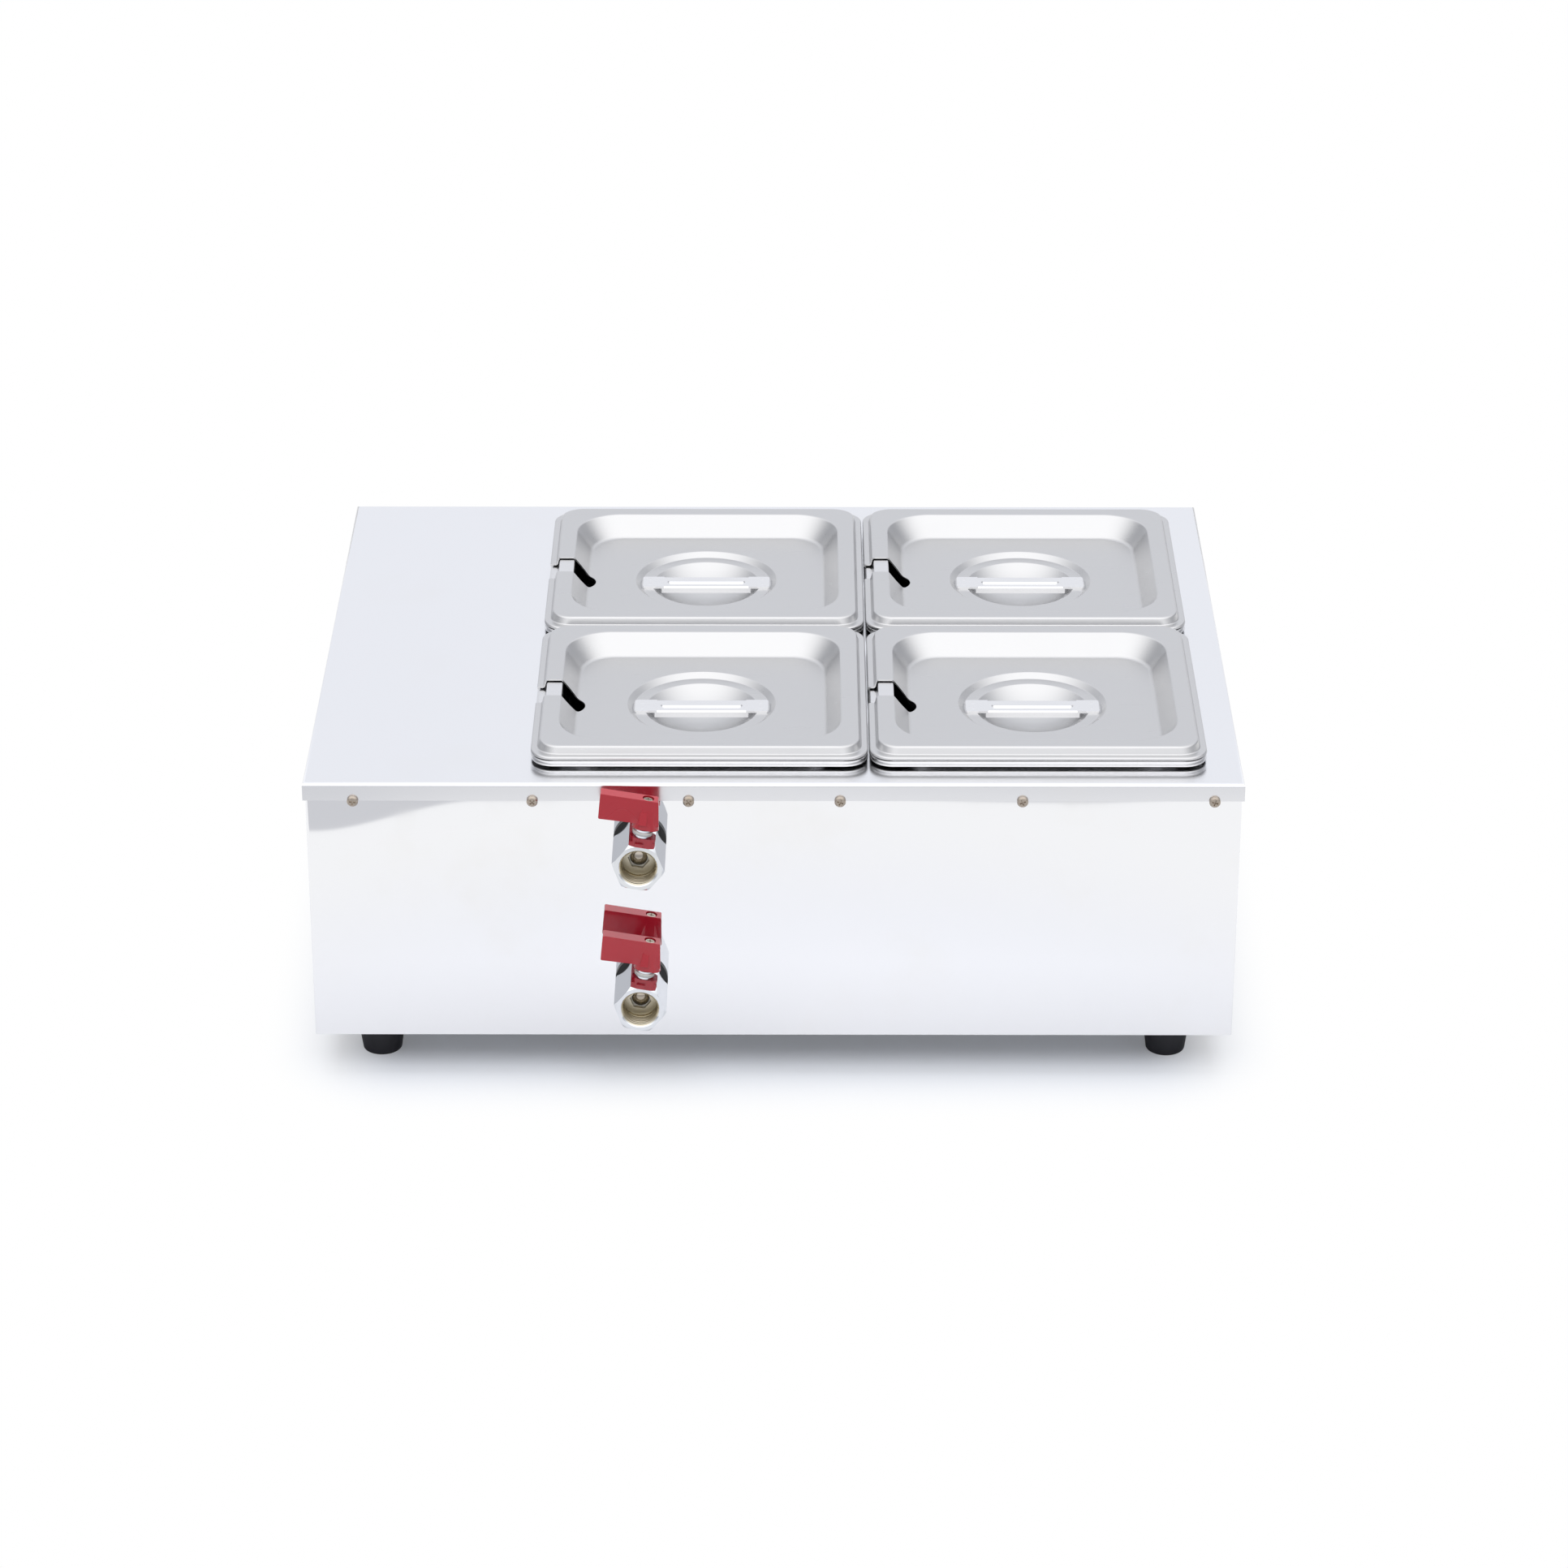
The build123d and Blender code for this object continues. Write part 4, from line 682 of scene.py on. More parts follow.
def carve(piece: bpy.types.Object, cutter: bpy.types.Object, crossed: bool = False) -> None:
    """Cuts a solid out of a piece and removes the cutter.

    Args:
        piece: The piece to cut.
        cutter: The solid to cut out.
        crossed: Whether the cutter's shells cross one another.
    """
    cut = piece.modifiers.new("cut", "BOOLEAN")
    cut.operation = "DIFFERENCE"
    cut.solver = "EXACT"
    cut.use_self = crossed
    cut.object = cutter
    settle(piece)
    bpy.data.objects.remove(cutter)


def merged_copy(node: str) -> bmesh.types.BMesh:
    """Copies a CAD node's mesh with its loose triangles joined and its flats made whole.

    Args:
        node: The CAD node's name.

    Returns:
        The copy.
    """
    bm = bmesh.new()
    bm.from_mesh(NODES[node].data)
    bmesh.ops.remove_doubles(bm, verts=bm.verts, dist=JOIN_WITHIN)
    bmesh.ops.dissolve_limit(bm, angle_limit=math.radians(FLAT_WITHIN), verts=bm.verts, edges=bm.edges)
    return bm


def dressed_node(node: str, edge: float, sharp: float = SHARP) -> bpy.types.Object:
    """Stands a smooth piece in for a CAD node of the right shape.

    Args:
        node: The CAD node's name.
        edge: Width of the bevel on its sharp edges.
        sharp: Edges that turn by more than this many degrees stay sharp.

    Returns:
        The piece that replaces the node.
    """
    piece = node_piece(node, "skin", merged_copy(node), sharp)
    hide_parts(node)
    soften(piece, edge, sharp + BEVEL_PAST)
    return piece


def islands(bm: bmesh.types.BMesh) -> list:
    """Sorts a mesh's vertices by the separate solid they belong to.

    Args:
        bm: The mesh.

    Returns:
        A list of vertices for each solid.
    """
    left = set(bm.verts)
    groups = []
    while left:
        group = [left.pop()]
        for vert in group:
            near = {edge.other_vert(vert) for edge in vert.link_edges} & left
            left -= near
            group += near
        groups.append(group)
    return groups


def cross_heads(
    node: str, inside: Vector, length: float = 3.3 * MM, width: float = 0.75 * MM, depth: float = 1.0 * MM
) -> None:
    """Dresses a node of screws and cuts a cross recess into every head.

    Args:
        node: The CAD node's name.
        inside: A point inside the appliance; the heads look away from it.
        length: Length of each slot of the cross.
        width: Width of each slot.
        depth: Depth of the recess.
    """
    bm = merged_copy(node)
    cutter = bmesh.new()
    first, step = CROSS_TURNS
    for index, group in enumerate(islands(bm)):
        low = Vector([min(vert.co[axis] for vert in group) for axis in range(3)])
        high = Vector([max(vert.co[axis] for vert in group) for axis in range(3)])
        size = high - low
        middle = (low + high) / 2
        axis = max(range(3), key=lambda item: size[item])
        outward = Vector((0, 0, 0))
        outward[axis] = math.copysign(1.0, middle[axis] - inside[axis])
        tip = middle + outward * size[axis] / 2
        turn = Matrix.Rotation(math.radians(first + step * index), 4, "Z")
        place = upright(tip, outward, Vector((outward.y, outward.z, outward.x))) @ turn
        for recess in ((length, width, 2 * depth), (width, length, 2 * depth)):
            box_solid(cutter, recess, place)
    piece = node_piece(node, "skin", bm, HEAD_SHARP)
    carve(piece, linked("cross_cutter", cutter), True)
    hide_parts(node)
    soften(piece, HEAD_EDGE, HEAD_SHARP + BEVEL_PAST)


def plate_outline(size: tuple, corner: float, height: float, centre: Vector, steps: int) -> list:
    """Draws a level rounded rectangle, corner after corner.

    Args:
        size: Width and depth.
        corner: Corner radius.
        height: Level of the outline.
        centre: Middle of the outline in plan.
        steps: Points in each corner.

    Returns:
        The outline's points.
    """
    points = []
    for quarter, (across, along) in enumerate(((1, 1), (-1, 1), (-1, -1), (1, -1))):
        hub = Vector((across * (size[0] / 2 - corner), along * (size[1] / 2 - corner), 0))
        for step in range(steps):
            turn = (quarter + step / (steps - 1)) * math.pi / 2
            rim = Vector((math.cos(turn), math.sin(turn), 0)) * corner
            points.append(Vector((centre.x, centre.y, height)) + hub + rim)
    return points


def round_outline(radius: float, height: float, centre: Vector, count: int) -> list:
    """Draws a level circle.

    Args:
        radius: The circle's radius.
        height: Its level.
        centre: Its middle in plan.
        count: How many points it has.

    Returns:
        The circle's points.
    """
    turns = [(step + 0.5) / count * 2 * math.pi for step in range(count)]
    hub = Vector((centre.x, centre.y, height))
    return [hub + Vector((math.cos(turn), math.sin(turn), 0)) * radius for turn in turns]


def carry(bm: bmesh.types.BMesh, outlines: list) -> list:
    """Extrudes a ring of edges from outline to outline.

    Args:
        bm: The mesh to add to.
        outlines: Lists of points, all of one length.

    Returns:
        The last ring's edges.
    """
    verts = [bm.verts.new(point) for point in outlines[0]]
    edges = [bm.edges.new(pair) for pair in zip(verts, verts[1:] + verts[:1])]
    for points in outlines[1:]:
        made = bmesh.ops.extrude_edge_only(bm, edges=edges)["geom"]
        fresh = {item for item in made if isinstance(item, bmesh.types.BMVert)}
        verts = [next(e.other_vert(v) for e in v.link_edges if e.other_vert(v) in fresh) for v in verts]
        for vert, point in zip(verts, points):
            vert.co = point
        edges = [bm.edges.get(pair) for pair in zip(verts, verts[1:] + verts[:1])]
    return edges


def between(place: float, stations: list) -> float:
    """Reads a value off a bent line.

    Args:
        place: Where to read it.
        stations: Place and value of each of the line's points.

    Returns:
        The value at the place.
    """
    for (near, first), (far, last) in zip(stations, stations[1:]):
        if place <= far:
            return first + (last - first) * (place - near) / (far - near)
    return stations[-1][1]


def bent(section: list, steps: int) -> list:
    """Rounds off the bends of a section.

    Args:
        section: Distance, height and bend radius of each corner.
        steps: Segments in each bend.

    Returns:
        Distance and height of every point.
    """
    points = [Vector(section[0][:2])]
    for index in range(1, len(section) - 1):
        corner = Vector(section[index][:2])
        radius = section[index][2]
        if not radius:
            points.append(corner)
            continue
        into = (Vector(section[index - 1][:2]) - corner).normalized()
        out = (Vector(section[index + 1][:2]) - corner).normalized()
        half = into.angle(out) / 2
        middle = corner + (into + out).normalized() * (radius / math.sin(half))
        start = corner + into * (radius / math.tan(half)) - middle
        end = corner + out * (radius / math.tan(half)) - middle
        turns = [start.slerp(end, step / steps).normalized() for step in range(steps + 1)]
        points += [middle + turn * radius for turn in turns]
    points.append(Vector(section[-1][:2]))
    return [(point.x, point.y) for point in points]


def face_up(bm: bmesh.types.BMesh) -> None:
    """Turns an open sheet's faces so that they look up.

    Args:
        bm: The sheet's mesh.
    """
    bmesh.ops.recalc_face_normals(bm, faces=bm.faces)
    if sum(face.normal.z * face.calc_area() for face in bm.faces) < 0:
        bmesh.ops.reverse_faces(bm, faces=bm.faces)


def turned(bm: bmesh.types.BMesh, profile: list, frame_of: Matrix, steps: int) -> None:
    """Spins a half profile into a closed round solid.

    Args:
        bm: The mesh to add to.
        profile: Radius and height of each point, from the axis and back to it, or a closed ring.
        frame_of: Where the solid goes; its axis is the frame's Z.
        steps: Segments round the axis.
    """
    known = set(bm.verts)
    points = [bm.verts.new((radius, 0.0, height)) for radius, height in profile]
    edges = [bm.edges.new(pair) for pair in zip(points, points[1:])]
    bmesh.ops.spin(
        bm,
        geom=points + edges,
        cent=(0, 0, 0),
        axis=(0, 0, 1),
        angle=2 * math.pi,
        steps=steps,
        use_merge=True,
    )
    made = [vert for vert in bm.verts if vert not in known]
    bmesh.ops.remove_doubles(bm, verts=made, dist=0.0005 * MM)
    made = [vert for vert in bm.verts if vert not in known]
    faces = {face for vert in made for face in vert.link_faces}
    bmesh.ops.recalc_face_normals(bm, faces=list(faces))
    bmesh.ops.transform(bm, matrix=frame_of, verts=made)


def box_solid(bm: bmesh.types.BMesh, size: tuple, frame_of: Matrix, edge: float = 0.0) -> None:
    """Adds a block.

    Args:
        bm: The mesh to add to.
        size: The block's sides.
        frame_of: Where its middle goes.
        edge: Width of its broken edges.
    """
    cube = bmesh.ops.create_cube(bm, size=1.0)["verts"]
    bmesh.ops.scale(bm, verts=cube, vec=size)
    bmesh.ops.transform(bm, matrix=frame_of, verts=cube)
    if edge:
        edges = list({e for vert in cube for e in vert.link_edges})
        bmesh.ops.bevel(bm, geom=edges, offset=edge, segments=2, profile=0.5, affect="EDGES", material=-1)


def upright(origin: Vector, axis: Vector, side: Vector) -> Matrix:
    """Makes a frame.

    Args:
        origin: Where it stands.
        axis: The direction of its Z.
        side: The direction of its X.

    Returns:
        The frame's matrix.
    """
    across = axis.cross(side).normalized()
    turn = Matrix((side.normalized(), across, axis.normalized())).transposed()
    return Matrix.Translation(origin) @ turn.to_4x4()


def letters(
    bm: bmesh.types.BMesh, words: str, size: float, frame_of: Matrix, raised: float = 0.04 * MM
) -> None:
    """Adds flat characters with a little thickness.

    Args:
        bm: The mesh to add to.
        words: The characters.
        size: Their size.
        frame_of: Where their middle goes; they are read from its Z.
        raised: How far they stand out on either side of the frame.
    """
    data = bpy.data.curves.new("characters", "FONT")
    data.body = words
    data.size = size
    data.align_x = "CENTER"
    data.align_y = "CENTER"
    data.extrude = raised
    data.resolution_u = 4
    holder = bpy.data.objects.new("characters", data)
    mesh = bpy.data.meshes.new_from_object(holder)
    mesh.transform(frame_of)
    bm.from_mesh(mesh)
    bpy.data.objects.remove(holder)


# Sub-assemblies


@dataclass
class Pressing:
    """Sheet that is drawn from a rounded rectangle and stands in for a CAD node."""

    place: str
    sheet: float = 0.8 * MM
    corner_steps: int = 15
    bend_steps: int = 6
    bevel_from: float = 45.0

    def rings(self, section: list, corners: list, size: Vector, centre: Vector) -> list:
        """Draws the rounded rectangles that a section passes through.

        Args:
            section: Inset, height and bend radius of each corner.
            corners: Plan corner radius at stations from the edge inwards.
            size: Outer size in plan.
            centre: Middle in plan.

        Returns:
            The outlines, from the first corner to the last.
        """
        outlines = []
        for inset, height in bent(section, self.bend_steps):
            plan = (size.x - 2 * inset, size.y - 2 * inset)
            corner = between(inset, corners)
            outlines.append(plate_outline(plan, corner, height, centre, self.corner_steps))
        return outlines

    def draw(self, node: str, outlines: list) -> bpy.types.Object:
        """Draws the sheet through its outlines, closes its floor and gives it thickness.

        Args:
            node: The CAD node's name.
            outlines: Lists of points, all of one length.

        Returns:
            The piece.
        """
        bm = bmesh.new()
        bmesh.ops.contextual_create(bm, geom=carry(bm, outlines))
        face_up(bm)
        piece = node_piece(node, "pressing", bm)
        wall = piece.modifiers.new("wall", "SOLIDIFY")
        wall.thickness = self.sheet
        wall.offset = -1.0
        settle(piece)
        return piece

    def finish(self, piece: bpy.types.Object, node: str, edge: float) -> None:
        """Puts the piece in its CAD node's place and breaks its edges.

        Args:
            piece: The piece.
            node: The CAD node's name.
            edge: Width of the bevel on its sharp edges.
        """
        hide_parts(node)
        piece.data.set_sharp_from_angle(angle=math.radians(SHARP))
        soften(piece, edge, self.bevel_from)


@dataclass
class NotchedLid(Pressing):
    """Pressed lid with a band, a sunken middle, a finger well and a ladle slot."""

    edge: float = 1.5 * MM
    edge_bend: float = 0.95 * MM
    rim: float = 3.4 * MM
    rim_bend: float = 0.7 * MM
    rise: float = 4.3 * MM
    rise_run: float = 1.2 * MM
    rise_bend: float = 1.3 * MM
    band: float = 9.0 * MM
    band_bend: float = 1.7 * MM
    recess: float = 11.0 * MM
    recess_run: float = 8.5 * MM
    recess_bend: float = 3.2 * MM
    recess_floor: float = 6.0 * MM
    plan_radii: tuple = (12.0 * MM, 11.0 * MM, 24.0 * MM, 19.0 * MM, 16.0 * MM)
    well: float = 79.5 * MM
    well_lip: float = 2.0 * MM
    well_run: float = 3.4 * MM
    well_step: float = 2.6 * MM
    well_bend: float = 1.2 * MM
    ledge_bend: float = 1.0 * MM
    bowl: float = 60.6 * MM
    bowl_depth: float = 11.0 * MM
    bowl_bend: float = 1.2 * MM
    bowl_steps: int = 12
    slot_length: float = 26.0 * MM
    slot_width: float = 20.0 * MM
    slot_forward: float = 4.0 * MM
    slot_steps: int = 14
    # Share of the slot's width that its corners take up, just short of meeting in a point
    slot_round: float = 0.4995
    edge_break: float = 0.16 * MM

    def insets(self) -> list:
        """Works out how far in the parts of the rounded rectangle lie.

        Returns:
            Insets of the edge, the band's outer and inner side, the recess and its floor's end.
        """
        band_out = self.rim + self.rise_run
        band_in = band_out + self.band
        floor = band_in + self.recess_run
        return [0.0, band_out, band_in, floor, floor + self.recess_floor]

    def sheet_section(self, top: float) -> list:
        """Works out the section of the rounded rectangular part.

        Args:
            top: Height of the band.

        Returns:
            Inset, height and bend radius of each corner.
        """
        rim_top = top - self.rise
        floor = top - self.recess
        edge, band_out, band_in, recess_in, floor_in = self.insets()
        return [
            (edge, rim_top - self.edge, 0.0),
            (edge, rim_top, self.edge_bend),
            (self.rim, rim_top, self.rim_bend),
            (band_out, top, self.rise_bend),
            (band_in, top, self.band_bend),
            (recess_in, floor, self.recess_bend),
            (floor_in, floor, 0.0),
        ]

    def well_section(self, floor: float) -> list:
        """Works out the section of the round well and its bowl.

        Args:
            floor: Height of the recess's floor.

        Returns:
            Radius, height and bend radius of each corner.
        """
        ledge = floor - self.well_step
        outer = self.well / 2
        edge = self.bowl / 2
        ball = (edge**2 + self.bowl_depth**2) / (2 * self.bowl_depth)
        middle = ledge - self.bowl_depth + ball
        widest = math.asin(edge / ball)
        turns = [widest * (1 - step / self.bowl_steps) for step in range(1, self.bowl_steps)]
        return [
            (outer + self.well_lip, floor, 0.0),
            (outer, floor, self.well_bend),
            (outer - self.well_run, ledge, self.ledge_bend),
            (edge, ledge, self.bowl_bend),
            *((ball * math.sin(turn), middle - ball * math.cos(turn), 0.0) for turn in turns),
        ]

    def build(self) -> None:
        """Builds the lid and puts it in its CAD node's place."""
        node = f"lid_{self.place}"
        low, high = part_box(node)
        centre = (low + high) / 2
        corners = list(zip(self.insets(), self.plan_radii))
        outlines = self.rings(self.sheet_section(high.z), corners, high - low, centre)
        well = bent(self.well_section(high.z - self.recess), self.bend_steps)
        outlines += [round_outline(radius, height, centre, 4 * self.corner_steps) for radius, height in well]
        lid = self.draw(node, outlines)
        carve(lid, self.slot_cutter(low, high))
        self.finish(lid, node, self.edge_break)

    def slot_cutter(self, low: Vector, high: Vector) -> bpy.types.Object:
        """Makes the round-ended solid that cuts the ladle slot.

        Args:
            low: The lid's lowest corner.
            high: The lid's highest corner.

        Returns:
            The solid.
        """
        width = self.slot_width
        left = low.x - width
        right = low.x + self.slot_length
        middle = (low.y + high.y) / 2 - self.slot_forward
        bm = bmesh.new()
        corners = [(left, -1), (right, -1), (right, 1), (left, 1)]
        verts = [bm.verts.new((x, middle + side * width / 2, low.z - width)) for x, side in corners]
        bm.faces.new(verts)
        bmesh.ops.bevel(
            bm,
            geom=verts[1:3],
            offset=width * self.slot_round,
            segments=self.slot_steps,
            profile=0.5,
            affect="VERTICES",
            material=-1,
        )
        tall = bmesh.ops.extrude_face_region(bm, geom=bm.faces[:])["geom"]
        raised = [item for item in tall if isinstance(item, bmesh.types.BMVert)]
        bmesh.ops.translate(bm, vec=(0, 0, 3 * width), verts=raised)
        bmesh.ops.recalc_face_normals(bm, faces=bm.faces)
        return linked("slot_cutter", bm)


@dataclass
class PanPressing(Pressing):
    """Deep-drawn pan: beaded lip, raised flange under the lid's band, neck, shoulder, walls.

    The lip gives inset, drop below the CAD pan's top, and bend radius of each corner in
    millimetres.
    """

    sheet: float = 0.5 * MM
    bend_steps: int = 5
    lip: tuple = (
        (0.1, 3.8, 0.0),
        (0.1, 3.2, 0.15),
        (0.9, 2.8, 0.15),
        (0.9, 2.4, 0.15),
        (0.2, 2.0, 0.15),
        (0.2, 1.2, 0.3),
        (1.6, 0.2, 0.3),
        (4.8, 0.2, 0.6),
    )
    flange_in: float = 5.5 * MM
    flange_lift: float = 4.3 * MM
    flange_bend: float = 0.6 * MM
    neck: float = 13.8 * MM
    neck_bend: float = 1.0 * MM
    neck_height: float = 20.0 * MM
    step: float = 2.0 * MM
    step_bend: float = 0.8 * MM
    draft: float = 8.0 * MM
    foot_bend: float = 12.0 * MM
    floor_run: float = 24.0 * MM
    floor_gap: float = 0.8 * MM
    plan_corners: tuple = ((0.0, 12.0 * MM), (13.0 * MM, 24.0 * MM), (23.8 * MM, 19.0 * MM))

    def section(self, top: float, floor: float) -> list:
        """Works out the section from the lip's foot to the pan's floor.

        Args:
            top: Height of the CAD pan's top.
            floor: Height of the floor.

        Returns:
            Inset, height and bend radius of each corner.
        """
        flange = top + self.flange_lift
        shoulder = top - self.neck_height
        foot = self.neck + self.step + self.draft
        return [
            *((inset * MM, top - drop * MM, bend * MM) for inset, drop, bend in self.lip),
            (self.flange_in, flange, self.flange_bend),
            (self.neck, flange, self.neck_bend),
            (self.neck, shoulder + self.step, self.step_bend),
            (self.neck + self.step, shoulder, self.step_bend),
            (foot, floor, self.foot_bend),
            (foot + self.floor_run, floor, 0.0),
        ]

    def build(self) -> None:
        """Builds the pan and puts it in its CAD node's place."""
        node = f"pan_{self.place}"
        low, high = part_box(node)
        section = self.section(high.z, low.z + self.floor_gap)
        outlines = self.rings(section, list(self.plan_corners), high - low, (low + high) / 2)
        self.finish(self.draw(node, outlines), node, 0.0)


@dataclass
class StrapHandle:
    """Strap across a finger well, with its spot welds."""

    place: str
    edge: float = 0.12 * MM
    tab_height: float = 3.8 * MM
    dot: float = 1.3 * MM
    dot_steps: int = 20
    crown: float = 0.16 * MM
    brow: float = 0.14 * MM
    brow_share: float = 0.55
    skirt: float = 0.02 * MM
    root: float = 0.05 * MM
    inset: float = 4.0 * MM
    spread: float = 3.2 * MM

    def build(self) -> None:
        """Dresses the strap and adds two spot welds on each tab."""
        node = f"strap_{self.place}"
        dressed_node(node, self.edge)
        low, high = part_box(node)
        centre = (low + high) / 2
        reach = (high.x - low.x) / 2 - self.inset
        height = low.z + self.tab_height
        profile = [
            (0.0, self.crown),
            (self.dot * self.brow_share, self.brow),
            (self.dot, -self.skirt),
            (0.0, -self.root),
        ]
        bm = bmesh.new()
        for end in (-1, 1):
            for side in (-1, 1):
                spot = Vector((centre.x + end * reach, centre.y + side * self.spread, height))
                turned(bm, profile, Matrix.Translation(spot), self.dot_steps)
        node_piece(node, "welds", bm)


@dataclass
class BallValve:
    """Mini ball valve: hexagonal body, threaded outlet and winged handle."""

    place: str
    body_edge: float = 0.3 * MM
    body_sharp: float = 33.0
    handle_edge: float = 0.35 * MM
    part_edge: float = 0.1 * MM
    screw_edge: float = 0.05 * MM
    bore: float = 9.32 * MM
    bore_share: float = 1.06
    plated_lip: float = 0.6 * MM
    pitch: float = 1.814 * MM
    ridge: float = 0.62 * MM
    crest_share: float = 0.08
    root_share: float = 0.42
    thread: float = 8.6 * MM
    thread_start: float = 1.3 * MM
    thread_sink: float = 0.05 * MM
    thread_steps: int = 40
    thread_sharp: float = 50.0

    def outlet(self) -> Vector:
        """Finds the middle of the outlet's mouth.

        Returns:
            A point on the flow axis.
        """
        mount = next(m for m in RECORD["mounts"] if m["name"] == f"{self.place}_outlet")
        low, _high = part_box(f"{self.place}_valve_body")
        return Vector((mount["pos_m"][0], low.y, mount["pos_m"][2]))

    def build(self) -> None:
        """Dresses the valve's nodes and adds the outlet's thread."""
        shell = dressed_node(f"{self.place}_valve_body", self.body_edge, self.body_sharp)
        mouth = self.outlet()
        self.bare_bore(shell, mouth)
        for part in ("retainer", "seals", "washer", "ball", "stem"):
            dressed_node(f"{self.place}_valve_{part}", self.part_edge)
        dressed_node(f"{self.place}_valve_handle", self.handle_edge)
        dressed_node(f"{self.place}_handle_screw", self.screw_edge)
        self.build_thread(mouth)

    def bare_bore(self, shell: bpy.types.Object, mouth: Vector) -> None:
        """Gives the faces round the flow axis, which aren't plated, the bore's finish.

        Args:
            shell: The body's piece.
            mouth: The middle of the outlet's mouth.
        """
        shell.data.materials.append(MATERIALS["bored_brass"])
        for face in shell.data.polygons:
            away = face.center - mouth
            near = math.hypot(away.x, away.z) < self.bore * self.bore_share
            if near and away.y > self.plated_lip:
                face.material_index = 1

    def build_thread(self, mouth: Vector) -> None:
        """Winds the outlet's thread as one helical ridge.

        Args:
            mouth: The middle of the outlet's mouth.
        """
        turns = (self.thread - self.pitch) / self.pitch
        steps = int(turns * self.thread_steps)
        outer = self.bore + self.thread_sink
        inner = outer - self.ridge
        base = [
            (outer, -self.root_share),
            (inner, -self.crest_share),
            (inner, self.crest_share),
            (outer, self.root_share),
        ]
        bm = bmesh.new()
        points = [bm.verts.new((radius, 0.0, share * self.pitch)) for radius, share in base]
        edges = [bm.edges.new(pair) for pair in zip(points, points[1:] + points[:1])]
        bmesh.ops.contextual_create(bm, geom=edges)
        bmesh.ops.spin(
            bm,
            geom=bm.faces[:] + edges + points,
            cent=(0, 0, 0),
            axis=(0, 0, 1),
            dvec=(0, 0, turns * self.pitch / steps),
            angle=2 * math.pi * turns,
            steps=steps,
            use_duplicate=False,
        )
        bmesh.ops.recalc_face_normals(bm, faces=bm.faces)
        spot = mouth + Vector((0, self.thread_start + self.pitch / 2, 0))
        bmesh.ops.transform(bm, matrix=upright(spot, Vector((0, 1, 0)), Vector((1, 0, 0))), verts=bm.verts)
        node = f"{self.place}_valve_body"
        name = f"{self.place}_outlet_thread"
        place_piece(name, bm, BODY_OF[node], "bored_brass", self.thread_sharp)


@dataclass
class Housing:
    """Top cover, shell, bottom, feet and the screws that hold them."""

    plain: tuple = ("body_shell", "bottom_plate", "feet", "foot_bolts", "foot_nuts")
    screwed: tuple = ("cover_screws", "base_screws", "inlet_screws")
    edge: float = 0.12 * MM

    def build(self) -> None:
        """Dresses the housing's nodes."""
        cover = dressed_node("top_cover", 0.0)
        cover.data.materials[0] = MATERIALS["deck_steel"]
        for node in self.plain:
            dressed_node(node, self.edge)
        low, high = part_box("body_shell")
        for node in self.screwed:
            cross_heads(node, (low + high) / 2)


@dataclass
class Bath:
    """Water tank, heater and what the housing hides."""

    inner: tuple = (
        "water_tank",
        "tank_sockets",
        "heater_tube",
        "heater_gaskets",
        "heater_nuts",
        "heater_saddles",
        "heat_shield",
        "thermostat_body",
        "thermostat_bulb",
        "bulb_gland",
        "overheat_cutout",
        "terminal_block",
    )

    def build(self) -> None:
        """Dresses the inner nodes."""
        for node in self.inner:
            dressed_node(node, 0.0)


